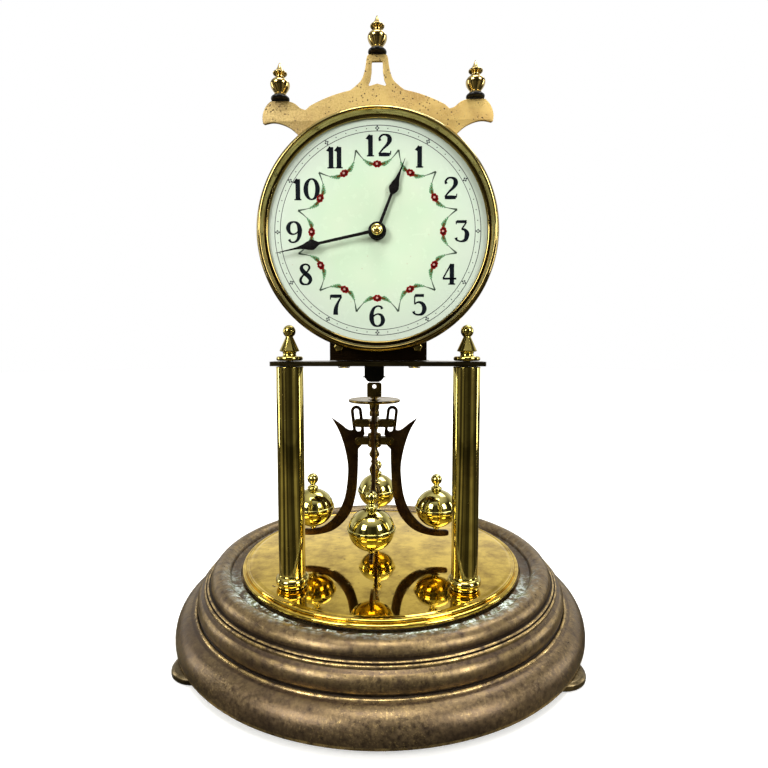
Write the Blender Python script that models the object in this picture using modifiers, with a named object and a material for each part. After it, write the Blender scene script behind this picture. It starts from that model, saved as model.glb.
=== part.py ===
"""Anniversary clock: a torsion-pendulum mantel clock on a round moulded base.

Front is -Y, up is +Z, units are metres. The origin is the centre of the base on the table.
Every sub-part is one object. Turned pieces are profiles with a Screw modifier, flat pieces
are filled 2D curves, and pieces made of several shapes are joined by Boolean unions.
"""
import math

import bmesh
import bpy

MM = 0.001
GAP = 0.3 * MM

# Base
RIM_BOTTOM = 4.0 * MM
DOME_SEAT_Z = 26.2 * MM
DISC_TOP = 30.0 * MM
DISC_RADIUS = 62.6 * MM
DISC_THICKNESS = 1.2 * MM
WEIGHT_RADIUS = 63.5 * MM
WEIGHT_THICKNESS = 3.2 * MM
FOOT_PLATE_BOTTOM = 6.4 * MM
FOOT_PLATE_THICKNESS = 1.4 * MM
FOOT_RADIUS = 11.0 * MM
FOOT_HEIGHT = 3.6 * MM
FOOT_SCREW_RADIUS = 1.6 * MM
FOOT_SCREW_TOP = 10.2 * MM
FRONT_FOOT_X = 71.8 * MM
FRONT_FOOT_Y = -49.5 * MM
REAR_FOOT_Y = 83.0 * MM
REAR_FOOT_RADIUS = 7.5 * MM

# Pillars and platform
PILLAR_X = 36.4 * MM
PILLAR_Y = -36.9 * MM
PILLAR_RADIUS = 5.57 * MM
PILLAR_WALL = 1.0 * MM
ROD_RADIUS = 1.5 * MM
ROD_HOLE = 1.9 * MM
ROD_HOLE_TOP = 131.0 * MM
ROD_HEAD_RADIUS = 3.2 * MM
PLATFORM_TOP = 125.1 * MM
PLATFORM_THICKNESS = 1.8 * MM
PLATFORM_SCREW_X = 15.5 * MM
PLATFORM_SCREW_Y = -22.0 * MM

# Movement: plates stand upright and their arbors run along Y
PLATE_HALF_WIDTH = 20.2 * MM
PLATE_THICKNESS = 1.5 * MM
FRONT_PLATE_Y = -32.75 * MM
BACK_PLATE_Y = -10.75 * MM
FRONT_PLATE_HEIGHT = 206.0 * MM
BACK_PLATE_HEIGHT = 211.0 * MM
PLATE_PILLAR_RADIUS = 2.6 * MM
PLATE_STUD_RADIUS = 0.9 * MM
PLATE_PILLARS = ((-16.3 * MM, 131.0 * MM), (16.3 * MM, 131.0 * MM), (-15.5 * MM, 201.5 * MM),
                 (15.5 * MM, 201.5 * MM))
DIAL_POST_X = 9.5 * MM
DIAL_POST_LOW = 151.0 * MM
DIAL_POST_HIGH = 202.0 * MM
ARBOR_FRONT_Y = -33.2 * MM
ARBOR_BACK_Y = -10.3 * MM
PIVOT_LENGTH = 1.6 * MM
ARBOR_RADIUS = 0.5 * MM
PIVOT_RADIUS = 0.4 * MM
PIVOT_HOLE = 0.75 * MM

# Going train: tooth counts and modules (pitch diameter = teeth * module)
BARREL_TEETH = 72
SECOND_PINION_LEAVES = 8
SECOND_TEETH = 60
THIRD_PINION_LEAVES = 6
THIRD_TEETH = 60
CENTRE_PINION_LEAVES = 6
CENTRE_TEETH = 60
ESCAPE_PINION_LEAVES = 6
ESCAPE_TEETH = 24
ESCAPE_RADIUS = 8.0 * MM
BARREL_MODULE = 0.40 * MM
SECOND_MODULE = 0.33 * MM
THIRD_MODULE = 0.30 * MM
CENTRE_MODULE = 0.28 * MM
CANNON_LEAVES = 10
MINUTE_TEETH = 30
MINUTE_PINION_LEAVES = 8
HOUR_TEETH = 32
MOTION_MODULE = 0.36 * MM
WHEEL_THICKNESS = 1.0 * MM

# Barrel and winding
DRUM_RADIUS = 13.2 * MM
DRUM_WALL = 0.9 * MM
DRUM_BACK_Y = -14.0 * MM
DRUM_FRONT_Y = -28.2 * MM
BARREL_ARBOR_RADIUS = 3.2 * MM
BARREL_PIVOT_RADIUS = 2.0 * MM
WINDING_SQUARE = 3.0 * MM
RATCHET_TEETH = 20
RATCHET_RADIUS = 6.2 * MM
RATCHET_Y = -8.6 * MM

# Dial, bezel and crown
DIAL_CENTRE_Z = 176.4 * MM
DIAL_RADIUS = 44.6 * MM
DIAL_FRONT_Y = -41.5 * MM
DIAL_THICKNESS = 0.6 * MM
BEZEL_RADIUS = 47.6 * MM
BEZEL_FRONT_Y = -45.6 * MM
BEZEL_BACK_Y = -40.9 * MM
BEZEL_OPENING = 43.1 * MM
CROWN_Y = -40.0 * MM
CROWN_THICKNESS = 1.2 * MM
CROWN_ARC_RADIUS = 55.4 * MM
CROWN_HORN_X = 38.1 * MM
CROWN_HORN_TOP = 227.1 * MM
CROWN_SPIRE_TOP = 244.2 * MM
CROWN_COLLAR_HEIGHT = 1.2 * MM

# Hands, shown at about 12:43
HOUR_ANGLE = 21.5
MINUTE_ANGLE = 257.8
HOUR_HAND_Y = -42.7 * MM
MINUTE_HAND_Y = -44.2 * MM
HAND_THICKNESS = 0.5 * MM

# Suspension and pendulum: they hang a little left of the base's centre line
AXIS_X = -3.1 * MM
ANCHOR_ABOVE_ESCAPE = 12.1 * MM
ANCHOR_PIN_HEIGHT = 9.0 * MM
ANCHOR_PIN_Y = -4.5 * MM
ANCHOR_PIN_RADIUS = 0.4 * MM
FORK_SLOT = 1.6 * MM
FORK_THICKNESS = 1.0 * MM
BRACKET_TOP = 217.0 * MM
BRACKET_THICKNESS = 1.5 * MM
TOP_BLOCK_BOTTOM = 210.0 * MM
SPRING_WIDTH = 1.6 * MM
SPRING_THICKNESS = 0.2 * MM
BOTTOM_BLOCK_TOP = 121.9 * MM
BOTTOM_BLOCK_BOTTOM = 114.2 * MM
BOTTOM_BLOCK_WIDTH = 9.4 * MM
BOTTOM_BLOCK_DEPTH = 3.0 * MM
HOOK_EYE_TOP = 113.9 * MM
HOOK_HOLE_Z = 112.0 * MM
SPINDLE_TOP = 107.6 * MM
SPINDLE_BOTTOM = 52.0 * MM
RATING_DISC_RADIUS = 12.5 * MM
RATING_DISC_Z = 105.2 * MM
RATING_DISC_THICKNESS = 1.4 * MM
SLIDER_Z = 94.2 * MM
SLIDER_PIN_R = 8.1 * MM
PIVOT_COLLAR_Z = 85.6 * MM
PIVOT_PIN_R = 7.4 * MM
CLEVIS_REACH = 10.2 * MM
CLEVIS_HALF_HEIGHT = 1.9 * MM
CHEEK_THICKNESS = 0.8 * MM
PIN_RADIUS = 0.7 * MM
LOOP_LEAN = math.radians(6.6)
ARM_THICKNESS = 1.6 * MM
BALL_ORBIT = 30.35 * MM
BALL_Z = 52.2 * MM
BALL_RADIUS = 10.35 * MM
BALL_FLATTENING = 0.89

FACING_FRONT = math.radians(90)
BRASS = (0.78, 0.57, 0.20)
DARK_BRASS = (0.52, 0.38, 0.15)
AGED_BRONZE = (0.23, 0.16, 0.10)
STEEL = (0.55, 0.55, 0.56)
BLACK = (0.02, 0.02, 0.02)
CREAM = (0.93, 0.95, 0.84)


def clear_scene():
    for item in list(bpy.data.objects):
        bpy.data.objects.remove(item)


def new_collection(name):
    collection = bpy.data.collections.new(name)
    bpy.context.scene.collection.children.link(collection)
    return collection


clear_scene()
PARTS = new_collection("anniversary_clock")
TOOLS = new_collection("boolean_tools")


def material(name, colour, roughness, metallic):
    """A Principled material, made once for each name."""
    found = bpy.data.materials.get(name)
    if found:
        return found
    made = bpy.data.materials.new(name)
    made.use_nodes = True
    shader = made.node_tree.nodes["Principled BSDF"]
    shader.inputs["Base Color"].default_value = (*colour, 1.0)
    shader.inputs["Roughness"].default_value = roughness
    shader.inputs["Metallic"].default_value = metallic
    return made


def brass(name):
    return material(name + "_brass", BRASS, 0.22, 1.0)


def dark_brass(name):
    return material(name + "_dark_brass", DARK_BRASS, 0.4, 1.0)


def steel(name):
    return material(name + "_steel", STEEL, 0.35, 1.0)


def black(name):
    return material(name + "_black", BLACK, 0.45, 0.0)


def place(item, location, rotation, finish):
    """Put a new object in the parts collection, at its place and with its material."""
    item.location = location
    item.rotation_euler = rotation
    item.data.materials.append(finish)
    PARTS.objects.link(item)
    return item


def as_tool(item):
    """Move an object to the tools: it only shapes another object."""
    PARTS.objects.unlink(item)
    TOOLS.objects.link(item)
    item.hide_render = True
    item.display_type = "WIRE"
    return item


def turned(name, profile, steps, finish, location=(0, 0, 0), rotation=(0, 0, 0), closed=False):
    """Turn a profile of (radius, height) points, listed down its outer side, about local Z."""
    mesh = bpy.data.meshes.new(name)
    edges = [(i, i + 1) for i in range(len(profile) - 1)]
    if closed:
        edges.append((len(profile) - 1, 0))
    mesh.from_pydata([(radius, 0, height) for radius, height in profile], edges, [])
    item = bpy.data.objects.new(name, mesh)
    screw = item.modifiers.new("Turn", "SCREW")
    screw.steps = steps
    screw.render_steps = steps
    screw.use_merge_vertices = True
    screw.merge_threshold = 0.00001
    screw.use_smooth_shade = True
    return place(item, location, rotation, finish)


def flat(name, outlines, thickness, finish, location=(0, 0, 0), rotation=(0, 0, 0)):
    """A flat plate from closed outlines of (x, y) points. An outline inside another is a hole."""
    curve = bpy.data.curves.new(name, "CURVE")
    curve.dimensions = "2D"
    curve.fill_mode = "BOTH"
    curve.extrude = thickness / 2
    for outline in outlines:
        spline = curve.splines.new("POLY")
        spline.points.add(len(outline) - 1)
        for point, (x, y) in zip(spline.points, outline):
            point.co = (x, y, 0, 1)
        spline.use_cyclic_u = True
    item = bpy.data.objects.new(name, curve)
    return place(item, location, rotation, finish)


def to_mesh(item):
    """Replace a curve object by the mesh it makes, so that a Boolean can use it."""
    bpy.context.view_layer.update()
    graph = bpy.context.evaluated_depsgraph_get()
    mesh = bpy.data.meshes.new_from_object(item.evaluated_get(graph))
    weld(mesh)
    name = item.name
    location = item.location.copy()
    rotation = item.rotation_euler.copy()
    finish = item.data.materials[0]
    bpy.data.objects.remove(item)
    made = bpy.data.objects.new(name, mesh)
    made.data.materials.clear()
    return place(made, location, rotation, finish)


def weld(mesh):
    work = bmesh.new()
    work.from_mesh(mesh)
    bmesh.ops.remove_doubles(work, verts=work.verts, dist=0.000001)
    work.to_mesh(mesh)
    work.free()


def join(item, tools):
    """Join the tools to the item with Boolean unions."""
    for tool in tools:
        as_tool(tool)
        union = item.modifiers.new("Join " + tool.name, "BOOLEAN")
        union.operation = "UNION"
        union.solver = "EXACT"
        union.object = tool
    return item


def cylinder(name, radius, bottom, top, steps, finish, location=(0, 0, 0), rotation=(0, 0, 0)):
    profile = [(0, top), (radius, top), (radius, bottom), (0, bottom)]
    return turned(name, profile, steps, finish, location, rotation)


def ring(name, outer, inner, bottom, top, steps, finish, location=(0, 0, 0), rotation=(0, 0, 0)):
    profile = [(outer, top), (outer, bottom), (inner, bottom), (inner, top)]
    return turned(name, profile, steps, finish, location, rotation, closed=True)


def circle(x, y, radius, count, first=0.0):
    """Points on a circle, from the angle first."""
    angles = [first + math.tau * i / count for i in range(count)]
    return [(x + radius * math.cos(angle), y + radius * math.sin(angle)) for angle in angles]


def rectangle(x0, y0, x1, y1):
    return [(x0, y0), (x1, y0), (x1, y1), (x0, y1)]


def mm(points):
    """Points listed in millimetres."""
    return [(x * MM, y * MM) for x, y in points]


def polar(radius, angle):
    return (radius * math.cos(angle), radius * math.sin(angle))


def wheel_outline(teeth, module, first):
    """Pointed clock teeth. The angle first is the middle of a gap."""
    pitch = math.tau / teeth
    radius = teeth * module / 2
    points = []
    for i in range(teeth):
        middle = first + (i + 0.5) * pitch
        points.append(polar(radius - 1.6 * module, middle - 0.5 * pitch))
        points.append(polar(radius + 0.7 * module, middle))
    return points


def pinion_outline(leaves, module, first):
    """Thin straight leaves. The angle first is the middle of a leaf."""
    pitch = math.tau / leaves
    radius = leaves * module / 2
    points = []
    for i in range(leaves):
        middle = first + i * pitch
        points.append(polar(radius - 1.1 * module, middle - 0.2 * pitch))
        points.append(polar(radius + 0.55 * module, middle - 0.08 * pitch))
        points.append(polar(radius + 0.55 * module, middle + 0.08 * pitch))
        points.append(polar(radius - 1.1 * module, middle + 0.2 * pitch))
    return points


def saw_outline(teeth, radius, depth, first):
    """Saw teeth, as on a ratchet or an escape wheel, with the first tip at the angle first."""
    pitch = math.tau / teeth
    points = []
    for i in range(teeth):
        tip = first + i * pitch
        points.append(polar(radius, tip))
        points.append(polar(radius - depth, tip + 0.12 * pitch))
    return points


def crossings(count, inner, outer):
    """The openings between a wheel's spokes."""
    windows = []
    for i in range(count):
        middle = math.tau * i / count + 0.3
        half_outer = math.pi / count - 0.9 * MM / outer
        half_inner = math.pi / count - 0.9 * MM / inner
        window = [polar(outer, middle + half_outer * share) for share in (-1, 0, 1)]
        window.append(polar(inner, middle + half_inner))
        window.append(polar(inner, middle - half_inner))
        windows.append(window)
    return windows


def meet(first, second, first_reach, second_reach, side):
    """The point at given distances from two centres, on the left (+1) or right (-1) of their line."""
    dx = second[0] - first[0]
    dy = second[1] - first[1]
    apart = math.hypot(dx, dy)
    along = (first_reach ** 2 - second_reach ** 2 + apart ** 2) / (2 * apart)
    across = side * math.sqrt(first_reach ** 2 - along ** 2)
    return (first[0] + (along * dx - across * dy) / apart, first[1] + (along * dy + across * dx) / apart)


def centres(teeth, leaves, module):
    """The centre distance of a wheel and a pinion."""
    return (teeth + leaves) * module / 2


def bearing(start, end):
    """The angle of the line from one arbor to another, seen from the front."""
    return math.atan2(end[1] - start[1], end[0] - start[0])


# Arbor places as (x, z)
CENTRE = (0.0, DIAL_CENTRE_Z)
BARREL = (5.2 * MM, 148.0 * MM)
SECOND_X = -7.0 * MM
BARREL_TO_SECOND = centres(BARREL_TEETH, SECOND_PINION_LEAVES, BARREL_MODULE)
SECOND = (SECOND_X, BARREL[1] + math.sqrt(BARREL_TO_SECOND ** 2 - (BARREL[0] - SECOND_X) ** 2))
THIRD = meet(
    SECOND,
    CENTRE,
    centres(SECOND_TEETH, THIRD_PINION_LEAVES, SECOND_MODULE),
    centres(THIRD_TEETH, CENTRE_PINION_LEAVES, THIRD_MODULE),
    1,
)
CENTRE_TO_ESCAPE = centres(CENTRE_TEETH, ESCAPE_PINION_LEAVES, CENTRE_MODULE)
ESCAPE = (AXIS_X, CENTRE[1] + math.sqrt(CENTRE_TO_ESCAPE ** 2 - AXIS_X ** 2))
ANCHOR = (AXIS_X, ESCAPE[1] + ANCHOR_ABOVE_ESCAPE)
MOTION_REACH = centres(CANNON_LEAVES, MINUTE_TEETH, MOTION_MODULE)
MINUTE = (CENTRE[0] + MOTION_REACH * math.cos(math.radians(-30)),
          CENTRE[1] + MOTION_REACH * math.sin(math.radians(-30)))
FORK_Z = ANCHOR[1] + ANCHOR_PIN_HEIGHT - 1.6 * MM
CLICK_PIVOT = (BARREL[0] + 9.6 * MM, BARREL[1] + 5.6 * MM)


def at(centre, y=0.0):
    return (centre[0], y, centre[1])


FRONT = (FACING_FRONT, 0, 0)


def arc(x, y, radius_x, radius_y, start, end, count):
    """Points on part of an ellipse, with angles in degrees."""
    points = []
    for i in range(count):
        angle = math.radians(start + (end - start) * i / (count - 1))
        points.append((x + radius_x * math.cos(angle), y + radius_y * math.sin(angle)))
    return points


def base_profile():
    """The spun moulding: ledge, upper roll, two steps with fine beads, and the large lower roll."""
    outer = [(66.8 * MM, DOME_SEAT_Z), (70.6 * MM, DOME_SEAT_Z)]
    outer += arc(75.4 * MM, 25.3 * MM, 4.6 * MM, 4.6 * MM, 165, 15, 5)
    outer += mm([(81.0, 24.0), (82.6, 23.2), (83.2, 21.2), (85.5, 18.4), (85.7, 15.4), (87.2, 14.7)])
    outer += arc(87.2 * MM, 5.2 * MM, 7.8 * MM, 9.1 * MM, 74, 0, 5)
    outer += [(94.6 * MM, RIM_BOTTOM)]
    inner = [(93.4 * MM, RIM_BOTTOM)]
    inner += mm([(91.0, 10.6), (84.2, 14.2), (84.0, 17.6), (79.4, 23.6), (75.6, 27.6), (71.4, 23.6)])
    inner += mm([(56.5, 23.4), (56.5, 24.6), (66.8, 24.6)])
    return outer + inner


def base_parts():
    finish = material("base_bronze", AGED_BRONZE, 0.55, 0.85)
    turned("base_moulding", base_profile(), 32, finish, closed=True)
    bottom = DISC_TOP - DISC_THICKNESS
    outlines = [circle(0, 0, WEIGHT_RADIUS, 32)]
    outlines += [circle(side * PILLAR_X, PILLAR_Y, ROD_HOLE, 10) for side in (-1, 1)]
    middle = bottom - GAP - WEIGHT_THICKNESS / 2
    flat("base_weight", outlines, WEIGHT_THICKNESS, steel("base_weight"), (0, 0, middle))
    disc_parts(bottom)
    foot_parts()


def disc_parts(bottom):
    """The polished pan. Its beaded rim hangs down beside the weight."""
    radius = DISC_RADIUS
    profile = [(radius, DISC_TOP), (radius + 1.2 * MM, DISC_TOP - 0.3 * MM),
               (radius + 1.8 * MM, DISC_TOP - 1.1 * MM)]
    profile += [(radius + 2.6 * MM, DISC_TOP - 1.2 * MM), (radius + 3.5 * MM, DISC_TOP - 1.9 * MM)]
    profile += [(radius + 3.7 * MM, DISC_TOP - 3.0 * MM), (radius + 1.4 * MM, DISC_TOP - 3.0 * MM)]
    profile += [(radius + 1.2 * MM, bottom), (0, bottom)]
    disc = turned("base_disc", [(0, DISC_TOP)] + profile, 32, brass("base_disc"))
    for side in (-1, 1):
        hole = cylinder("rod_hole", ROD_HOLE, bottom - 5 * MM, DISC_TOP + 5 * MM, 10, brass("base_disc"),
                        (side * PILLAR_X, PILLAR_Y, 0))
        as_tool(hole)
        cut = disc.modifiers.new("Rod hole", "BOOLEAN")
        cut.operation = "DIFFERENCE"
        cut.solver = "EXACT"
        cut.object = hole


def foot_parts():
    """A steel ring inside the rim carries two levelling screws and a fixed rear foot."""
    places = [(-FRONT_FOOT_X, FRONT_FOOT_Y), (FRONT_FOOT_X, FRONT_FOOT_Y), (0, REAR_FOOT_Y)]
    outlines = [circle(0, 0, 91.4 * MM, 32), circle(0, 0, 74.0 * MM, 32)]
    outlines += [circle(x, y, FOOT_SCREW_RADIUS + GAP + 0.1 * MM, 10) for x, y in places]
    middle = FOOT_PLATE_BOTTOM + FOOT_PLATE_THICKNESS / 2
    flat("foot_plate", outlines, FOOT_PLATE_THICKNESS, steel("foot_plate"), (0, 0, middle))
    for name, (x, y) in zip(("levelling_foot_left", "levelling_foot_right"), places):
        profile = [(0, FOOT_SCREW_TOP), (FOOT_SCREW_RADIUS, FOOT_SCREW_TOP),
                   (FOOT_SCREW_RADIUS, FOOT_HEIGHT)]
        profile += [(9.6 * MM, FOOT_HEIGHT), (FOOT_RADIUS, 2.6 * MM), (FOOT_RADIUS, 1.0 * MM),
                    (9.8 * MM, 0), (0, 0)]
        turned(name, profile, 16, dark_brass(name), (x, y, 0))
    top = FOOT_PLATE_BOTTOM + FOOT_PLATE_THICKNESS
    profile = [(0, top), (FOOT_SCREW_RADIUS, top), (FOOT_SCREW_RADIUS, FOOT_PLATE_BOTTOM - GAP)]
    profile += [(6.4 * MM, FOOT_PLATE_BOTTOM - GAP), (REAR_FOOT_RADIUS, 3.0 * MM),
                (REAR_FOOT_RADIUS, 1.0 * MM)]
    profile += [(6.6 * MM, 0), (0, 0)]
    turned("rear_foot", profile, 14, dark_brass("rear_foot"), (0, REAR_FOOT_Y, 0))


def pillar_parts():
    """Two tubes with a moulded foot, each held by a long bolt and a finial nut with a flange."""
    for side, name in ((-1, "left"), (1, "right")):
        spot = (side * PILLAR_X, PILLAR_Y, 0)
        turned("pillar_" + name, pillar_profile(), 16, brass("pillars"), spot, closed=True)
        turned("pillar_finial_" + name, pillar_finial_profile(), 10, brass("pillar_finials"), spot)
        turned("pillar_bolt_" + name, pillar_bolt_profile(), 10, steel("pillar_bolts"), spot)


def pillar_profile():
    top = PLATFORM_TOP - PLATFORM_THICKNESS - GAP
    bottom = DISC_TOP + GAP
    inner = PILLAR_RADIUS - PILLAR_WALL
    profile = [(PILLAR_RADIUS, top), (PILLAR_RADIUS, bottom + 4.8 * MM), (6.5 * MM, bottom + 4.0 * MM)]
    profile += [(6.8 * MM, bottom + 2.6 * MM), (6.6 * MM, bottom + 0.8 * MM), (6.0 * MM, bottom)]
    return profile + [(inner, bottom), (inner, top)]


def pillar_finial_profile():
    """Ball, cone, neck and flange, with a blind hole for the bolt."""
    bottom = PLATFORM_TOP + GAP
    flange_top = PLATFORM_TOP + 1.9 * MM
    profile = arc(0, 137.4 * MM, 2.6 * MM, 2.6 * MM, 90, -56, 5)
    profile += mm([(4.05, 129.5), (2.9, 128.9)])
    profile += [(2.8 * MM, flange_top), (5.4 * MM, flange_top), (5.4 * MM, bottom)]
    return profile + [(ROD_HOLE, bottom), (ROD_HOLE, ROD_HOLE_TOP), (0, ROD_HOLE_TOP)]


def pillar_bolt_profile():
    head_top = DISC_TOP - DISC_THICKNESS - WEIGHT_THICKNESS - 2 * GAP
    head_bottom = head_top - 2.2 * MM
    rod_top = ROD_HOLE_TOP - 0.4 * MM
    profile = [(0, rod_top), (ROD_RADIUS, rod_top), (ROD_RADIUS, head_top), (ROD_HEAD_RADIUS, head_top)]
    return profile + [(ROD_HEAD_RADIUS, head_bottom), (0, head_bottom)]


def platform_parts():
    """The shelf that joins the pillars. Its rear tongue guides the suspension spring."""
    rear = 8.0 * MM
    outline = mm([(-43.0, -43.0), (43.0, -43.0), (43.4, -42.4), (43.4, -32.0)])
    outline += [(22.0 * MM, -24.0 * MM), (22.0 * MM, -8.0 * MM), (AXIS_X + 11 * MM, rear),
                (AXIS_X - 11 * MM, rear)]
    outline += mm([(-22.0, -8.0), (-22.0, -24.0), (-43.4, -32.0), (-43.4, -42.4)])
    holes = [circle(side * PILLAR_X, PILLAR_Y, ROD_HOLE, 10) for side in (-1, 1)]
    holes += [circle(side * PLATFORM_SCREW_X, PLATFORM_SCREW_Y, 1.3 * MM, 8) for side in (-1, 1)]
    holes.append(circle(AXIS_X, 0, 3.2 * MM, 16))
    middle = PLATFORM_TOP - PLATFORM_THICKNESS / 2
    flat("movement_platform", [outline] + holes, PLATFORM_THICKNESS, dark_brass("platform"), (0, 0, middle))


def plate_parts():
    """Front plate with riveted dial posts, and back plate with four riveted pillars and the click's stud."""
    bottom = PLATFORM_TOP + GAP
    studs = [circle(x, z, PLATE_STUD_RADIUS + GAP, 8) for x, z in PLATE_PILLARS]
    pivots = [circle(*spot, PIVOT_HOLE, 8) for spot in (SECOND, THIRD, ESCAPE, ANCHOR)]
    barrel_hole = circle(*BARREL, BARREL_PIVOT_RADIUS + 0.4 * MM, 14)
    outlines = [rectangle(-PLATE_HALF_WIDTH, bottom, PLATE_HALF_WIDTH, FRONT_PLATE_HEIGHT)] + studs + pivots
    outlines += [barrel_hole, circle(*CENTRE, 1.0 * MM, 10), circle(*MINUTE, PIVOT_HOLE, 8)]
    finish = dark_brass("front_plate")
    front = to_mesh(flat("front_plate", outlines, PLATE_THICKNESS, finish, (0, FRONT_PLATE_Y, 0), FRONT))
    join(front, dial_posts(finish))
    outlines = [rectangle(-PLATE_HALF_WIDTH, bottom, PLATE_HALF_WIDTH, BACK_PLATE_HEIGHT)] + pivots
    outlines += [barrel_hole, circle(*CENTRE, PIVOT_HOLE, 8)]
    finish = brass("back_plate")
    back = to_mesh(flat("back_plate", outlines, PLATE_THICKNESS, finish, (0, BACK_PLATE_Y, 0), FRONT))
    join(back, plate_pillars(finish) + [click_stud(finish)])


def dial_posts(finish):
    """Two posts to the dial and two to the crown plate."""
    start = -FRONT_PLATE_Y
    dial_back = -(DIAL_FRONT_Y + DIAL_THICKNESS)
    crown_back = -(CROWN_Y + CROWN_THICKNESS / 2)
    posts = []
    for x in (-DIAL_POST_X, DIAL_POST_X):
        for z, end in ((DIAL_POST_LOW, dial_back), (DIAL_POST_HIGH, crown_back)):
            posts.append(cylinder("dial_post", 1.6 * MM, start, end - GAP, 8, finish, (x, 0, z), FRONT))
    return posts


def plate_pillars(finish):
    """Pillars from the back plate, each with a thinner stud through the front plate."""
    stud_end = -(FRONT_PLATE_Y - PLATE_THICKNESS / 2)
    shoulder = stud_end - PLATE_THICKNESS - GAP
    profile = [(0, stud_end), (PLATE_STUD_RADIUS, stud_end), (PLATE_STUD_RADIUS, shoulder)]
    profile += [(PLATE_PILLAR_RADIUS, shoulder), (PLATE_PILLAR_RADIUS, -BACK_PLATE_Y), (0, -BACK_PLATE_Y)]
    return [turned("plate_pillar", profile, 10, finish, (x, 0, z), FRONT) for x, z in PLATE_PILLARS]


def click_stud(finish):
    start = -BACK_PLATE_Y
    end = -RATCHET_Y - 0.6 * MM - GAP
    profile = [(0, start), (0.8 * MM, start), (0.8 * MM, end), (2.0 * MM, end), (2.0 * MM, end - 1.2 * MM)]
    return turned("click_stud", profile + [(0, end - 1.2 * MM)], 10, finish, at(CLICK_PIVOT), FRONT)


def arbor(name, centre, pinion, finish, front=-ARBOR_FRONT_Y, back=-ARBOR_BACK_Y):
    """A steel arbor with its pinion. The pinion is (leaves, module, first angle, front, back)."""
    leaves, module, first, pinion_front, pinion_back = pinion
    shoulder_front = front - PIVOT_LENGTH
    shoulder_back = back + PIVOT_LENGTH
    profile = [(0, front), (PIVOT_RADIUS, front), (PIVOT_RADIUS, shoulder_front),
               (ARBOR_RADIUS, shoulder_front)]
    profile += [(ARBOR_RADIUS, shoulder_back), (PIVOT_RADIUS, shoulder_back), (PIVOT_RADIUS, back),
                (0, back)]
    shaft = turned(name, profile, 8, finish, at(centre), FRONT)
    middle = (pinion_front + pinion_back) / 2
    length = pinion_front - pinion_back
    teeth = flat(name + "_pinion", [pinion_outline(leaves, module, first)], length, finish,
                 at(centre, -middle), FRONT)
    return join(shaft, [to_mesh(teeth)])


def train_wheel(name, centre, teeth, module, first, y, spokes=4):
    """A crossed-out brass wheel on its arbor."""
    radius = teeth * module / 2
    holes = crossings(spokes, 2.6 * MM, radius - 1.6 * module - 1.0 * MM)
    holes.append(circle(0, 0, ARBOR_RADIUS + GAP, 8))
    outline = wheel_outline(teeth, module, first)
    return flat(name, [outline] + holes, WHEEL_THICKNESS, brass("train_wheels"), at(centre, y), FRONT)


def train_parts():
    """Second, third, centre and escape wheels with their arbors, in mesh at rest."""
    to_second = bearing(BARREL, SECOND)
    to_third = bearing(SECOND, THIRD)
    to_centre = bearing(THIRD, CENTRE)
    to_escape = bearing(CENTRE, ESCAPE)
    pinion = (SECOND_PINION_LEAVES, BARREL_MODULE, to_second + math.pi, 15.0 * MM, 12.2 * MM)
    arbor("second_pinion", SECOND, pinion, steel("arbors"))
    train_wheel("second_wheel", SECOND, SECOND_TEETH, SECOND_MODULE, to_third, -30.0 * MM)
    pinion = (THIRD_PINION_LEAVES, SECOND_MODULE, to_third + math.pi, 31.0 * MM, 28.8 * MM)
    arbor("third_pinion", THIRD, pinion, steel("arbors"))
    train_wheel("third_wheel", THIRD, THIRD_TEETH, THIRD_MODULE, to_centre, -20.0 * MM)
    pinion = (CENTRE_PINION_LEAVES, THIRD_MODULE, to_centre + math.pi, 21.2 * MM, 18.8 * MM)
    arbor("centre_arbor", CENTRE, pinion, steel("arbors"), front=44.4 * MM)
    train_wheel("centre_wheel", CENTRE, CENTRE_TEETH, CENTRE_MODULE, to_escape, -25.0 * MM)
    pinion = (ESCAPE_PINION_LEAVES, CENTRE_MODULE, to_escape + math.pi, 26.2 * MM, 23.8 * MM)
    arbor("escape_pinion", ESCAPE, pinion, steel("arbors"))
    first = math.radians(90 + 360 / ESCAPE_TEETH / 2)
    outlines = [saw_outline(ESCAPE_TEETH, ESCAPE_RADIUS, 1.6 * MM, first)]
    outlines += crossings(4, 2.4 * MM, 5.4 * MM)
    outlines.append(circle(0, 0, ARBOR_RADIUS + GAP, 8))
    flat("escape_wheel", outlines, 0.8 * MM, brass("train_wheels"), at(ESCAPE, -15.0 * MM), FRONT)


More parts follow.
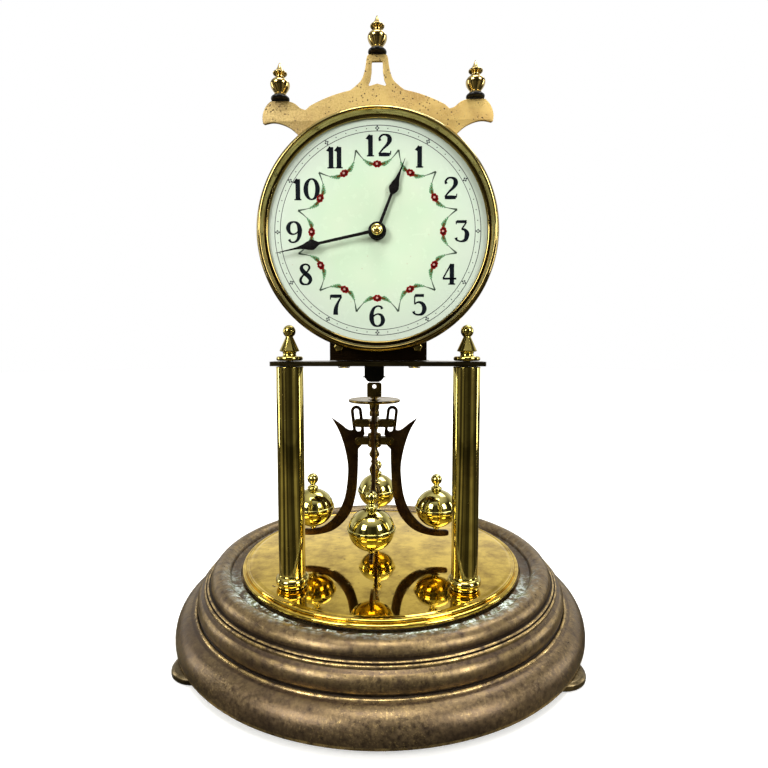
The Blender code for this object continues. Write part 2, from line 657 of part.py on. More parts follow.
def barrel_parts():
    """Toothed barrel with its cap, the coiled mainspring and the winding arbor."""
    first = bearing(BARREL, SECOND)
    spot = at(BARREL)
    outlines = [wheel_outline(BARREL_TEETH, BARREL_MODULE, first),
                circle(0, 0, BARREL_PIVOT_RADIUS + 0.5 * MM, 14)]
    gear = to_mesh(flat("barrel", outlines, 1.4 * MM, brass("barrel"), at(BARREL, -13.3 * MM), FRONT))
    drum = ring("barrel_drum", DRUM_RADIUS, DRUM_RADIUS - DRUM_WALL, -DRUM_BACK_Y - 0.4 * MM,
                -DRUM_FRONT_Y, 28, brass("barrel"), spot, FRONT)
    join(gear, [drum])
    cap_back = -DRUM_FRONT_Y - 1.1 * MM
    ring("barrel_cap", DRUM_RADIUS - DRUM_WALL - GAP, BARREL_PIVOT_RADIUS + 0.5 * MM, cap_back,
         cap_back + 0.9 * MM, 28, dark_brass("barrel_cap"), spot, FRONT)
    mainspring(cap_back)
    core_front = cap_back - GAP
    core_back = -DRUM_BACK_Y + GAP
    front = -ARBOR_FRONT_Y
    back = 9.6 * MM
    profile = [(0, front), (BARREL_PIVOT_RADIUS, front), (BARREL_PIVOT_RADIUS, core_front)]
    profile += [(BARREL_ARBOR_RADIUS, core_front), (BARREL_ARBOR_RADIUS, core_back)]
    profile += [(BARREL_PIVOT_RADIUS, core_back), (BARREL_PIVOT_RADIUS, back), (0, back)]
    shaft = turned("barrel_arbor", profile, 14, steel("barrel_arbor"), spot, FRONT)
    half = WINDING_SQUARE / 2
    square = flat("winding_square", [rectangle(-half, -half, half, half)], 8.4 * MM, steel("barrel_arbor"),
                  at(BARREL, -6.0 * MM), FRONT)
    join(shaft, [to_mesh(square)])
    hole = half + GAP
    outlines = [saw_outline(RATCHET_TEETH, RATCHET_RADIUS, 1.0 * MM, 0.0),
                rectangle(-hole, -hole, hole, hole)]
    flat("ratchet_wheel", outlines, 1.2 * MM, steel("ratchet"), at(BARREL, RATCHET_Y), FRONT)


def mainspring(cap_back):
    """The coils as one spiral strip, from the arbor to the drum."""
    turns = 3.25
    count = 36
    strip = 0.8 * MM
    inner = BARREL_ARBOR_RADIUS + 1.0 * MM
    outer = DRUM_RADIUS - DRUM_WALL - GAP - strip
    spiral = []
    back = []
    for i in range(count):
        share = i / (count - 1)
        angle = math.tau * turns * share
        radius = inner + (outer - inner) * share
        spiral.append(polar(radius + strip, angle))
        back.append(polar(radius, angle))
    front = cap_back - 0.6 * MM
    rear = -DRUM_BACK_Y + 0.6 * MM
    flat("mainspring", [spiral + back[::-1]], front - rear, steel("mainspring"),
         at(BARREL, -(front + rear) / 2), FRONT)


def click_parts():
    """The click rides over the ratchet's teeth and a wire spring presses it home."""
    reach = math.hypot(CLICK_PIVOT[0] - BARREL[0], CLICK_PIVOT[1] - BARREL[1]) - RATCHET_RADIUS
    away = bearing(CLICK_PIVOT, BARREL)
    tip = (reach - 0.35 * MM) * math.cos(away), (reach - 0.35 * MM) * math.sin(away)
    side = (-math.sin(away), math.cos(away))
    outline = [
        (tip[0] + 0.3 * MM * side[0], tip[1] + 0.3 * MM * side[1]),
        (tip[0] - 0.3 * MM * side[0], tip[1] - 0.3 * MM * side[1]),
        polar(2.1 * MM, away - math.radians(70)),
        polar(2.1 * MM, away - math.radians(120)),
        polar(2.1 * MM, away + math.pi),
        polar(2.1 * MM, away + math.radians(120)),
        polar(2.1 * MM, away + math.radians(70)),
    ]
    hole = circle(0, 0, 0.8 * MM + GAP, 8)
    flat("click", [outline, hole], 1.2 * MM, steel("click"), at(CLICK_PIVOT, RATCHET_Y), FRONT)
    start = (CLICK_PIVOT[0] - 1.0 * MM, RATCHET_Y, CLICK_PIVOT[1] + 2.8 * MM)
    points = [start, (start[0] + 2.5 * MM, RATCHET_Y, start[2] + 0.6 * MM),
              (start[0] + 3.4 * MM, RATCHET_Y, start[2] + 4.0 * MM)]
    points.append((start[0] + 2.6 * MM, RATCHET_Y, start[2] + 9.0 * MM))
    wire("click_spring", points, 0.3 * MM, steel("click_spring"))


def wire(name, points, radius, finish):
    curve = bpy.data.curves.new(name, "CURVE")
    curve.dimensions = "3D"
    curve.bevel_depth = radius
    curve.bevel_resolution = 1
    curve.use_fill_caps = True
    spline = curve.splines.new("POLY")
    spline.points.add(len(points) - 1)
    for point, place_at in zip(spline.points, points):
        point.co = (*place_at, 1)
    return place(bpy.data.objects.new(name, curve), (0, 0, 0), (0, 0, 0), finish)


def anchor_parts():
    """The anchor, its arbor and the upright pin that the fork pushes."""
    half = mm([(1.9, 1.4), (7.6, -2.6), (8.4, -5.4), (7.0, -6.0), (5.8, -3.8)])
    half.append((1.6 * MM, -1.6 * MM))
    outline = half + [(-x, z) for x, z in reversed(half)]
    front = -ARBOR_FRONT_Y
    shoulder = front - PIVOT_LENGTH
    profile = [(0, front), (PIVOT_RADIUS, front), (PIVOT_RADIUS, shoulder), (ARBOR_RADIUS, shoulder)]
    profile += mm([(0.5, 12.6), (0.45, 12.6), (0.45, 3.6), (0, 3.6)])
    shaft = turned("anchor", profile, 8, steel("anchor"), at(ANCHOR), FRONT)
    body = flat("anchor_body", [outline], 1.4 * MM, steel("anchor"), at(ANCHOR, -15.0 * MM), FRONT)
    pin = cylinder("anchor_pin", ANCHOR_PIN_RADIUS, 0, ANCHOR_PIN_HEIGHT, 8, steel("anchor"),
                   at(ANCHOR, ANCHOR_PIN_Y))
    join(shaft, [to_mesh(body), pin])


def motion_parts():
    """Cannon pinion, minute wheel and hour wheel between the front plate and the dial."""
    to_minute = bearing(CENTRE, MINUTE)
    finish = steel("cannon_pinion")
    pipe = ring("cannon_pinion", 1.35 * MM, 0.8 * MM, 34.0 * MM, 45.0 * MM, 10, finish, at(CENTRE), FRONT)
    outlines = [pinion_outline(CANNON_LEAVES, MOTION_MODULE, to_minute), circle(0, 0, 1.1 * MM, 10)]
    leaves = flat("cannon_leaves", outlines, 1.5 * MM, finish, at(CENTRE, -35.0 * MM), FRONT)
    join(pipe, [to_mesh(leaves)])

    finish = brass("motion_work")
    outline = wheel_outline(MINUTE_TEETH, MOTION_MODULE, to_minute + math.pi)
    wheel = to_mesh(flat("minute_wheel", [outline], 0.8 * MM, finish, at(MINUTE, -35.0 * MM), FRONT))
    outline = pinion_outline(MINUTE_PINION_LEAVES, MOTION_MODULE, to_minute + math.pi)
    leaves = flat("minute_leaves", [outline], 3.0 * MM, finish, at(MINUTE, -36.6 * MM), FRONT)
    pivot = cylinder("minute_pivot", 0.4 * MM, 32.6 * MM, 39.0 * MM, 8, finish, at(MINUTE), FRONT)
    join(wheel, [to_mesh(leaves), pivot])

    outlines = [wheel_outline(HOUR_TEETH, MOTION_MODULE, to_minute), circle(0, 0, 2.0 * MM, 12)]
    wheel = to_mesh(flat("hour_wheel", outlines, 0.8 * MM, finish, at(CENTRE, -37.2 * MM), FRONT))
    pipe = ring("hour_pipe", 2.35 * MM, 1.75 * MM, 36.9 * MM, 43.2 * MM, 12, finish, at(CENTRE), FRONT)
    join(wheel, [pipe])


def hand_outline(hub, shaft, swell_start, swell, swell_width, taper, tip):
    """A hand pointing up: round hub, thin shaft, leaf-shaped swelling and a needle tip."""
    side = arc(0, 0, hub, hub, -75, 75, 6)
    side += [(shaft, hub + 0.6 * MM), (shaft * 0.9, swell_start), (swell_width * 0.72, swell - 1.3 * MM)]
    side += [(swell_width, swell), (swell_width * 0.72, swell + 2.2 * MM), (shaft * 0.7, taper),
             (0.12 * MM, tip)]
    return side + [(-x, y) for x, y in reversed(side)]


def hand_parts():
    hour = hand_outline(3.6 * MM, 0.6 * MM, 15.2 * MM, 17.6 * MM, 1.95 * MM, 24.6 * MM, 29.7 * MM)
    minute = hand_outline(3.3 * MM, 0.6 * MM, 23.4 * MM, 26.0 * MM, 2.0 * MM, 32.6 * MM, 40.9 * MM)
    turn = (FACING_FRONT, math.radians(HOUR_ANGLE), 0)
    flat("hour_hand", [hour, circle(0, 0, 2.65 * MM, 14)], HAND_THICKNESS, black("hands"),
         at(CENTRE, HOUR_HAND_Y), turn)
    turn = (FACING_FRONT, math.radians(MINUTE_ANGLE), 0)
    flat("minute_hand", [minute, circle(0, 0, 1.65 * MM, 12)], HAND_THICKNESS, black("hands"),
         at(CENTRE, MINUTE_HAND_Y), turn)
    front = -MINUTE_HAND_Y + HAND_THICKNESS / 2 + 0.8 * MM
    profile = [(0, front + 1.7 * MM), (1.4 * MM, front + 1.5 * MM), (2.5 * MM, front + 0.8 * MM),
               (2.8 * MM, front)]
    turned("hand_nut", profile + [(0, front)], 14, brass("hand_nut"), at(CENTRE), FRONT)


def dial_parts():
    """Painted dial, brass bezel, and the pierced crown with its three finials."""
    outlines = [circle(0, 0, DIAL_RADIUS, 32), circle(0, 0, 2.9 * MM, 12)]
    enamel = material("dial_enamel", CREAM, 0.25, 0.0)
    flat("dial", outlines, DIAL_THICKNESS, enamel, at(CENTRE, DIAL_FRONT_Y + DIAL_THICKNESS / 2), FRONT)
    front = -BEZEL_FRONT_Y
    back = -BEZEL_BACK_Y
    lip = -DIAL_FRONT_Y + GAP
    profile = [(45.3 * MM, front), (46.6 * MM, front - 0.4 * MM), (47.4 * MM, front - 1.4 * MM),
               (BEZEL_RADIUS, front - 2.7 * MM)]
    profile += [(BEZEL_RADIUS - 0.1 * MM, back), (DIAL_RADIUS + 0.4 * MM, back),
                (DIAL_RADIUS + 0.4 * MM, lip)]
    profile += [(BEZEL_OPENING, lip), (BEZEL_OPENING, lip + 0.9 * MM), (44.1 * MM, front - 0.5 * MM)]
    turned("bezel", profile, 32, dark_brass("bezel"), at(CENTRE), FRONT, closed=True)


def crown_outline():
    """One side of the crown, from the foot of the spire down to the hidden lower edge."""
    side = [(3.3 * MM, CROWN_SPIRE_TOP), (4.2 * MM, 243.0 * MM), (5.1 * MM, 237.6 * MM),
            (6.8 * MM, 233.4 * MM)]
    start = 79.0
    end = 59.5
    for i in range(5):
        angle = math.radians(start + (end - start) * i / 4)
        side.append((CROWN_ARC_RADIUS * math.cos(angle), DIAL_CENTRE_Z + CROWN_ARC_RADIUS * math.sin(angle)))
    side += [(30.6 * MM, 224.8 * MM), (34.6 * MM, CROWN_HORN_TOP), (41.7 * MM, CROWN_HORN_TOP),
             (43.6 * MM, 225.4 * MM)]
    side += mm([(45.0, 221.8), (44.2, 218.4), (37.9, 218.5), (34.0, 216.8), (30.4, 213.6), (20.0, 199.0)])
    return side + [(-x, z) for x, z in reversed(side)]


def crown_parts():
    window = mm([(-2.15, 241.6), (2.15, 241.6), (3.3, 232.6), (-3.3, 232.6)])
    flat("crown_plate", [crown_outline(), window], CROWN_THICKNESS, brass("crown"), (0, CROWN_Y, 0), FRONT)
    places = (("centre", 0, CROWN_SPIRE_TOP), ("left", -CROWN_HORN_X, CROWN_HORN_TOP),
              ("right", CROWN_HORN_X, CROWN_HORN_TOP))
    for name, x, z in places:
        turned("crown_finial_" + name, crown_finial_profile(), 10, brass("crown_finials"),
               (x, CROWN_Y, z + GAP))


def crown_finial_profile():
    """A spire over a bead and an acorn-shaped ball, with a thin collar at its foot."""
    profile = mm([(0, 14.2), (1.7, 11.1), (2.8, 10.1), (1.5, 8.8)])
    profile += arc(0, 5.9 * MM, 3.8 * MM, 2.6 * MM, 66, -10, 4)
    profile += mm([(2.2, 2.7), (2.4, 1.3)])
    profile += [(3.6 * MM, CROWN_COLLAR_HEIGHT), (3.6 * MM, 0.2 * MM)]
    return profile + mm([(3.4, 0), (0, 0)])


def suspension_parts():
    """Bracket, top block, spring strip, fork and bottom block."""
    back = -(BACK_PLATE_Y + PLATE_THICKNESS / 2)
    foot = -back + GAP
    top = BRACKET_TOP
    t = BRACKET_THICKNESS
    outline = [(foot, 205.0 * MM), (foot + t, 205.0 * MM), (foot + t, top - t), (3.6 * MM, top - t),
               (3.6 * MM, top), (foot, top)]
    rear = flat("suspension_bracket", [outline], 9.0 * MM, dark_brass("bracket"), (AXIS_X, 0, 0),
                (FACING_FRONT, 0, FACING_FRONT))
    bracket = to_mesh(rear)
    hole = as_tool(cylinder("block_hole", 1.4 * MM, 200 * MM, 230 * MM, 10, dark_brass("bracket"),
                            (AXIS_X, 0, 0)))
    cut = bracket.modifiers.new("Block hole", "BOOLEAN")
    cut.operation = "DIFFERENCE"
    cut.solver = "EXACT"
    cut.object = hole
    profile = [(0, top + 1.8 * MM), (2.4 * MM, top + 1.8 * MM), (2.4 * MM, top + GAP),
               (1.0 * MM, top + GAP)]
    profile += [(1.0 * MM, top - t - GAP), (2.4 * MM, top - t - GAP), (2.4 * MM, TOP_BLOCK_BOTTOM),
                (0, TOP_BLOCK_BOTTOM)]
    turned("suspension_top_block", profile, 12, dark_brass("block"), (AXIS_X, 0, 0))
    top = TOP_BLOCK_BOTTOM - GAP
    bottom = BOTTOM_BLOCK_TOP + GAP
    half = SPRING_WIDTH / 2
    flat("suspension_spring", [rectangle(-half, bottom, half, top)], SPRING_THICKNESS, steel("spring"),
         (AXIS_X, 0, 0), FRONT)
    slot = FORK_SLOT / 2
    hub = 2.9 * MM
    reach = ANCHOR_PIN_Y - 2.0 * MM
    outline = arc(0, 0, hub, hub, -55, 235, 12)
    outline += [(-slot - 0.9 * MM, reach), (-slot, reach), (-slot, -2.7 * MM), (slot, -2.7 * MM),
                (slot, reach)]
    outline += [(slot + 0.9 * MM, reach)]
    flat("suspension_fork", [outline, circle(0, 0, 1.4 * MM, 10)], FORK_THICKNESS, brass("fork"),
         (AXIS_X, 0, FORK_Z))
    bottom_block()


def bottom_block():
    """The black block at the spring's lower end: straight sides, two short lugs and a rounded foot."""
    half = BOTTOM_BLOCK_WIDTH / 2
    lug = BOTTOM_BLOCK_BOTTOM + 2.3 * MM
    side = [(half, BOTTOM_BLOCK_TOP), (half, lug + 0.5 * MM), (half + 0.8 * MM, lug)]
    side += [(half - 0.3 * MM, lug - 0.4 * MM), (half - 0.8 * MM, BOTTOM_BLOCK_BOTTOM + 0.9 * MM)]
    side += [(half - 2.4 * MM, BOTTOM_BLOCK_BOTTOM)]
    outline = side + [(-x, z) for x, z in reversed(side)]
    flat("suspension_bottom_block", [outline], BOTTOM_BLOCK_DEPTH, black("block"), (AXIS_X, 0, 0), FRONT)


def cheeks(name, reach, pin_radius_at, z, finish):
    """Four pairs of cheeks with cross pins, one pair for each pendulum arm."""
    tools = []
    inside = ARM_THICKNESS / 2 + GAP
    middle = inside + CHEEK_THICKNESS / 2
    for turn in range(4):
        angle = turn * math.pi / 2
        for side in (-1, 1):
            offset = side * middle
            spot = (AXIS_X - offset * math.sin(angle), offset * math.cos(angle), z)
            outline = rectangle(2.2 * MM, -CLEVIS_HALF_HEIGHT, reach, CLEVIS_HALF_HEIGHT)
            cheek = flat(name + "_cheek", [outline], CHEEK_THICKNESS, finish, spot,
                         (FACING_FRONT, 0, angle))
            tools.append(to_mesh(cheek))
        spot = (AXIS_X + pin_radius_at * math.cos(angle), pin_radius_at * math.sin(angle), z)
        length = inside + CHEEK_THICKNESS + 0.4 * MM
        tools.append(cylinder(name + "_pin", PIN_RADIUS, -length, length, 6, finish, spot,
                              (FACING_FRONT, 0, angle)))
    return tools


def spindle_parts():
    """The spindle with its hook eye, turned balusters and fixed pivot collar."""
    z = PIVOT_COLLAR_Z
    finish = dark_brass("spindle")
    profile = [(0, SPINDLE_TOP), (2.2 * MM, SPINDLE_TOP)] + mm([(2.2, 106.4), (1.3, 106.3)])
    turning = mm([(1.3, -3.6), (3.3, -3.2), (3.3, 2.6), (1.6, 4.0), (2.4, 7.0), (1.3, 9.6), (2.5, 14.0)])
    turning += mm([(1.4, 19.0), (2.6, 26.0), (1.2, 31.0)])
    profile += [(radius, z - drop) for radius, drop in turning]
    profile.append((0, SPINDLE_BOTTOM))
    spindle = turned("pendulum_spindle", profile, 10, finish, (AXIS_X, 0, 0))
    eye_side = [(3.5 * MM, SPINDLE_TOP - 0.6 * MM), (3.5 * MM, HOOK_EYE_TOP - 0.7 * MM),
                (2.9 * MM, HOOK_EYE_TOP)]
    eye_outline = eye_side + [(-x, z) for x, z in reversed(eye_side)]
    eye = flat("hook_eye", [eye_outline, circle(0, HOOK_HOLE_Z, 1.0 * MM, 10)], 2.2 * MM, finish,
               (AXIS_X, 0, 0), FRONT)
    tools = cheeks("pivot", CLEVIS_REACH - 0.8 * MM, PIVOT_PIN_R, z, finish)
    join(spindle, [to_mesh(eye)] + tools)


def regulator_parts():
    """The rating disc turns on the spindle and draws the slider collar up or down."""
    half = RATING_DISC_THICKNESS / 2
    bore = 1.3 * MM + GAP
    z = RATING_DISC_Z
    profile = [(RATING_DISC_RADIUS - 0.3 * MM, z + half), (RATING_DISC_RADIUS, z),
               (RATING_DISC_RADIUS - 0.3 * MM, z - half)]
    profile += [(2.4 * MM, z - half), (2.4 * MM, 97.6 * MM), (bore, 97.6 * MM), (bore, z + half)]
    turned("rating_disc", profile, 22, dark_brass("rating_disc"), (AXIS_X, 0, 0), closed=True)
    half = CLEVIS_HALF_HEIGHT
    finish = dark_brass("slider_collar")
    collar = ring("slider_collar", 3.4 * MM, bore, SLIDER_Z - half, SLIDER_Z + half, 12, finish,
                  (AXIS_X, 0, 0))
    join(collar, cheeks("slider", CLEVIS_REACH, SLIDER_PIN_R, SLIDER_Z, finish))


def loop_point(across, height):
    """A point on the leaning slotted loop, measured from the slider's pin."""
    x = SLIDER_PIN_R + across * math.cos(LOOP_LEAN) + height * math.sin(LOOP_LEAN)
    return (x, SLIDER_Z - across * math.sin(LOOP_LEAN) + height * math.cos(LOOP_LEAN))


def arm_outlines():
    """One arm as (distance from the axis, height): loop on top, horn-shaped blade, curved foot."""
    half = 2.7 * MM
    slot = 1.25 * MM
    top = 5.8 * MM
    head = (math.pi, math.pi * 0.75, math.pi / 2, math.pi / 4, 0)
    loop = [loop_point(half * math.cos(angle), top + half * math.sin(angle)) for angle in head]
    outline = [(5.9 * MM, 83.6 * MM), (5.7 * MM, 87.4 * MM), loop_point(-half, -6.0 * MM)] + loop
    outline += [loop_point(half, -3.2 * MM), (13.4 * MM, 91.0 * MM), (16.6 * MM, 93.8 * MM),
                (20.8 * MM, 96.6 * MM)]
    outline += mm([(17.3, 90.4), (14.7, 82.8), (13.1, 74.5), (13.1, 67.6), (14.3, 58.6), (16.9, 51.6)])
    outline += mm([(21.2, 45.8), (26.0, 42.4), (31.0, 41.4), (35.6, 41.2), (36.6, 39.8), (35.4, 38.4)])
    outline += mm([(29.0, 38.4), (21.2, 40.4), (15.6, 44.6), (11.4, 50.8), (8.9, 60.4), (8.2, 70.0)])
    outline += mm([(7.9, 81.4)])
    hole = [loop_point(slot * math.cos(angle), top + slot * math.sin(angle)) for angle in head[::2]]
    hole += [loop_point(slot, -3.4 * MM), loop_point(0, -4.4 * MM), loop_point(-slot, -3.4 * MM)]
    pivot = circle(PIVOT_PIN_R, PIVOT_COLLAR_Z, PIN_RADIUS + 0.35 * MM, 8)
    return [outline, hole, pivot]


def ball_profile():
    """A flattened ball with a raised band, a collared neck and a small finial, about its centre."""
    high = BALL_RADIUS * BALL_FLATTENING
    profile = arc(0, 14.2 * MM, 2.7 * MM, 2.7 * MM, 90, -55, 4)
    profile += mm([(1.3, 11.3), (2.6, 10.0)])
    profile += arc(0, 0, BALL_RADIUS - 0.3 * MM, high, 72, 6, 4)
    profile += [(BALL_RADIUS + 0.15 * MM, 0.7 * MM), (BALL_RADIUS + 0.15 * MM, -0.3 * MM)]
    profile += arc(0, 0, BALL_RADIUS - 0.3 * MM, high, -5, -78, 4)
    return profile + [(1.4 * MM, -9.6 * MM), (1.4 * MM, -10.4 * MM), (0, -10.4 * MM)]


def arm_parts():
    names = ("right", "back", "left", "front")
    for turn, name in enumerate(names):
        angle = turn * math.pi / 2
        pivot = (AXIS_X + PIVOT_PIN_R * math.cos(angle), PIVOT_PIN_R * math.sin(angle), PIVOT_COLLAR_Z)
        outlines = []
        for outline in arm_outlines():
            outlines.append([(x - PIVOT_PIN_R, z - PIVOT_COLLAR_Z) for x, z in outline])
        flat("pendulum_arm_" + name, outlines, ARM_THICKNESS, dark_brass("arms"), pivot,
             (FACING_FRONT, 0, angle))
        spot = (AXIS_X + BALL_ORBIT * math.cos(angle), BALL_ORBIT * math.sin(angle), BALL_Z)
        turned("pendulum_ball_" + name, ball_profile(), 12, brass("balls"), spot)


def build():
    base_parts()
    pillar_parts()
    platform_parts()
    plate_parts()
    train_parts()
    barrel_parts()
    click_parts()
    anchor_parts()
    motion_parts()
    hand_parts()
    dial_parts()
    crown_parts()
    suspension_parts()
    spindle_parts()
    regulator_parts()
    arm_parts()


build()
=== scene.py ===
"""Looks for the anniversary clock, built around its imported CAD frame.

Metres, front is -Y, up is +Z. Most lists of points are written in millimetres, and mm() turns them
into metres. Turned pieces are profiles of (radius, height) points, flat pieces are outlines of (x, y)
points.
"""
import math

import bmesh
import bpy
from mathutils import Matrix, Vector, noise


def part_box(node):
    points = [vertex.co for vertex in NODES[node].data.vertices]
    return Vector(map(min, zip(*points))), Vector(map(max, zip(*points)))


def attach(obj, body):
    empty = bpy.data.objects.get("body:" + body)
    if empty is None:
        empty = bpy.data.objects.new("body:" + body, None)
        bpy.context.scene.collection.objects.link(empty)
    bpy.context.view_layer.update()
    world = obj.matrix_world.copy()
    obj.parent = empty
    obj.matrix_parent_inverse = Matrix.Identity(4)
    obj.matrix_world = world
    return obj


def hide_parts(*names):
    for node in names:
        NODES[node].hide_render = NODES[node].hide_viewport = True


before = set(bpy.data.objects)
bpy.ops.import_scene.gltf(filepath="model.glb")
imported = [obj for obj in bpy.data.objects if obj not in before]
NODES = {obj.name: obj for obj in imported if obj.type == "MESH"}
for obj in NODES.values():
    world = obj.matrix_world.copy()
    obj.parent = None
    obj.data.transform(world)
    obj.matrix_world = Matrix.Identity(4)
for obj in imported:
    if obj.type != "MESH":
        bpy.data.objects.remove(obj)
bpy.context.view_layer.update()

MM = 0.001
SHARP_ANGLE = math.radians(38)
TURNED_STEPS = 48
ROD_STEPS = 28
UPRIGHT = Matrix.Rotation(math.radians(90), 4, "X")


def low(node):
    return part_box(node)[0]


def high(node):
    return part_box(node)[1]


def middle(node):
    return (low(node) + high(node)) / 2


# Places, most of them read from the frame
DISC_TOP = high("base_disc").z
DISC_BOTTOM = DISC_TOP - 1.2 * MM
RIM_BOTTOM = low("base_moulding").z
PILLARS = {"left": middle("pillar_left"), "right": middle("pillar_right")}
PLATFORM_BOTTOM = low("movement_platform").z
CENTRE = middle("bezel")
DIAL_SPOT = (CENTRE.x, 0, CENTRE.z)
DIAL_FRONT = low("dial").y
AXIS = middle("rating_disc")
AXIS_SPOT = (AXIS.x, AXIS.y, 0)
RATING_DISC_Z = high("rating_disc").z - 0.7 * MM
SLIDER_Z = middle("slider_collar").z
FRONT_PLATE_FACE = -33.5 * MM
BRACKET_BACK = low("suspension_bracket").y + 1.5 * MM


# ---- Shape helpers


def mm(points):
    """Points in millimetres turned into metres."""
    return [tuple(value * MM for value in point) for point in points]


def arc(x, y, radius_x, radius_y, start, end, count):
    """Points on part of an ellipse, with angles in degrees."""
    points = []
    for i in range(count):
        angle = math.radians(start + (end - start) * i / (count - 1))
        points.append((x + radius_x * math.cos(angle), y + radius_y * math.sin(angle)))
    return points


def circle(x, y, radius, count=32):
    return arc(x, y, radius, radius, 0, 360 - 360 / count, count)


def smooth(points, per=6, closed=False):
    """A Catmull-Rom curve through the points, of any number of coordinates."""
    count = len(points)
    spans = count if closed else count - 1
    result = []
    for i in range(spans):
        p = []
        for k in (i - 1, i, i + 1, i + 2):
            p.append(points[k % count] if closed else points[min(max(k, 0), count - 1)])
        for step in range(per):
            t = step / per
            point = []
            for a, b, c, d in zip(*p):
                value = 2 * b + (c - a) * t + (2 * a - 5 * b + 4 * c - d) * t * t
                point.append((value + (3 * b - a - 3 * c + d) * t ** 3) / 2)
            result.append(tuple(point))
    if not closed:
        result.append(tuple(points[-1]))
    return result


def rounded(points, reach, count=4, closed=False):
    """Each corner replaced with a short curve that starts `reach` before it."""
    total = len(points)
    result = []
    for i, point in enumerate(points):
        if not closed and i in (0, total - 1):
            result.append(point)
            continue
        corner = Vector(point)
        before = Vector(points[i - 1]) - corner
        after = Vector(points[(i + 1) % total]) - corner
        if before.length < 1e-9 or after.length < 1e-9 or before.angle(after) > math.radians(172):
            result.append(point)
            continue
        start = corner + before.normalized() * min(reach, before.length * 0.45)
        end = corner + after.normalized() * min(reach, after.length * 0.45)
        for step in range(count):
            t = step / (count - 1)
            blend = start * (1 - t) ** 2 + corner * 2 * t * (1 - t) + end * t * t
            result.append(tuple(blend))
    return result


def edge_values(profile, closed):
    """How convex the profile is at each point: 1 on an outside corner, -1 in a groove."""
    total = len(profile)
    turns = []
    for i in range(total):
        if not closed and i in (0, total - 1):
            turns.append(0.0)
            continue
        a = Vector(profile[i]) - Vector(profile[i - 1])
        b = Vector(profile[(i + 1) % total]) - Vector(profile[i])
        if a.length < 1e-9 or b.length < 1e-9:
            turns.append(0.0)
            continue
        turn = -a.angle_signed(b)
        turns.append(-turn / (a.length + b.length) * MM)
    values = []
    for i in range(total):
        near = [turns[(i + k) % total] for k in (-2, -1, 0, 1, 2)]
        values.append(max(-1.0, min(1.0, sum(near) / len(near) * 1.6)))
    return values


def new_object(name, bm, finish, spot=(0, 0, 0), turn=None):
    """An object from a bmesh, turned and then moved to its spot, smooth with sharp creases."""
    mesh = bpy.data.meshes.new(name)
    bmesh.ops.recalc_face_normals(bm, faces=bm.faces)
    bm.to_mesh(mesh)
    bm.free()
    if turn is not None:
        mesh.transform(turn)
    mesh.transform(Matrix.Translation(Vector(spot)))
    mesh.shade_smooth()
    mesh.set_sharp_from_angle(angle=SHARP_ANGLE)
    mesh.materials.append(finish)
    item = bpy.data.objects.new(name, mesh)
    bpy.context.scene.collection.objects.link(item)
    return item


def lathe(name, profile, finish, spot=(0, 0, 0), turn=None, steps=TURNED_STEPS, closed=False, waver=0.0):
    """Turn a profile, listed down its outer side. waver makes it slightly uneven."""
    bm = bmesh.new()
    layer = bm.verts.layers.float.new("edge")
    rings = []
    for (radius, height), value in zip(profile, edge_values(profile, closed)):
        ring = []
        count = steps if radius > 1e-7 else 1
        for i in range(count):
            angle = math.tau * i / steps
            x, y = radius * math.cos(angle), radius * math.sin(angle)
            push = 1.0
            if waver:
                push += waver * noise.noise(Vector((x * 45, y * 45, height * 90)))
            vert = bm.verts.new((x * push, y * push, height))
            vert[layer] = value
            ring.append(vert)
        rings.append(ring)
    pairs = list(zip(rings, rings[1:]))
    if closed:
        pairs.append((rings[-1], rings[0]))
    for upper, lower in pairs:
        if len(upper) == 1 and len(lower) == 1:
            continue
        for i in range(steps):
            j = (i + 1) % steps
            if len(upper) == 1:
                bm.faces.new((upper[0], lower[i], lower[j]))
            elif len(lower) == 1:
                bm.faces.new((upper[i], lower[0], upper[j]))
            else:
                bm.faces.new((upper[i], lower[i], lower[j], upper[j]))
    return new_object(name, bm, finish, spot, turn)


def plate(name, outlines, thickness, finish, spot=(0, 0, 0), turn=None, bevel=0.15 * MM):
    """A flat plate with rounded edges. An outline inside another is a hole."""
    curve = bpy.data.curves.new(name, "CURVE")
    curve.dimensions = "2D"
    curve.fill_mode = "BOTH"
    curve.extrude = thickness / 2 - bevel
    curve.bevel_depth = bevel
    curve.bevel_resolution = 2
    curve.offset = -bevel
    for outline in outlines:
        spline = curve.splines.new("POLY")
        spline.points.add(len(outline) - 1)
        for point, (x, y) in zip(spline.points, outline):
            point.co = (x, y, 0, 1)
        spline.use_cyclic_u = True
    guide = bpy.data.objects.new(name + "_guide", curve)
    bpy.context.scene.collection.objects.link(guide)
    bpy.context.view_layer.update()
    mesh = bpy.data.meshes.new_from_object(guide.evaluated_get(bpy.context.evaluated_depsgraph_get()))
    bpy.data.objects.remove(guide)
    bm = bmesh.new()
    bm.from_mesh(mesh)
    bpy.data.meshes.remove(mesh)
    bmesh.ops.remove_doubles(bm, verts=bm.verts, dist=0.004 * MM)
    return new_object(name, bm, finish, spot, turn)


def combine(name, items):
    """Several new objects as one, each with its own finish."""
    bm = bmesh.new()
    finishes = []
    for item in items:
        finish = item.data.materials[0]
        if finish not in finishes:
            finishes.append(finish)
        start = len(bm.faces)
        bm.from_mesh(item.data)
        bm.faces.ensure_lookup_table()
        for face in bm.faces[start:]:
            face.material_index = finishes.index(finish)
        bpy.data.objects.remove(item)
    mesh = bpy.data.meshes.new(name)
    bm.to_mesh(mesh)
    bm.free()
    mesh.set_sharp_from_angle(angle=SHARP_ANGLE)
    for finish in finishes:
        mesh.materials.append(finish)
    result = bpy.data.objects.new(name, mesh)
    bpy.context.scene.collection.objects.link(result)
    return result


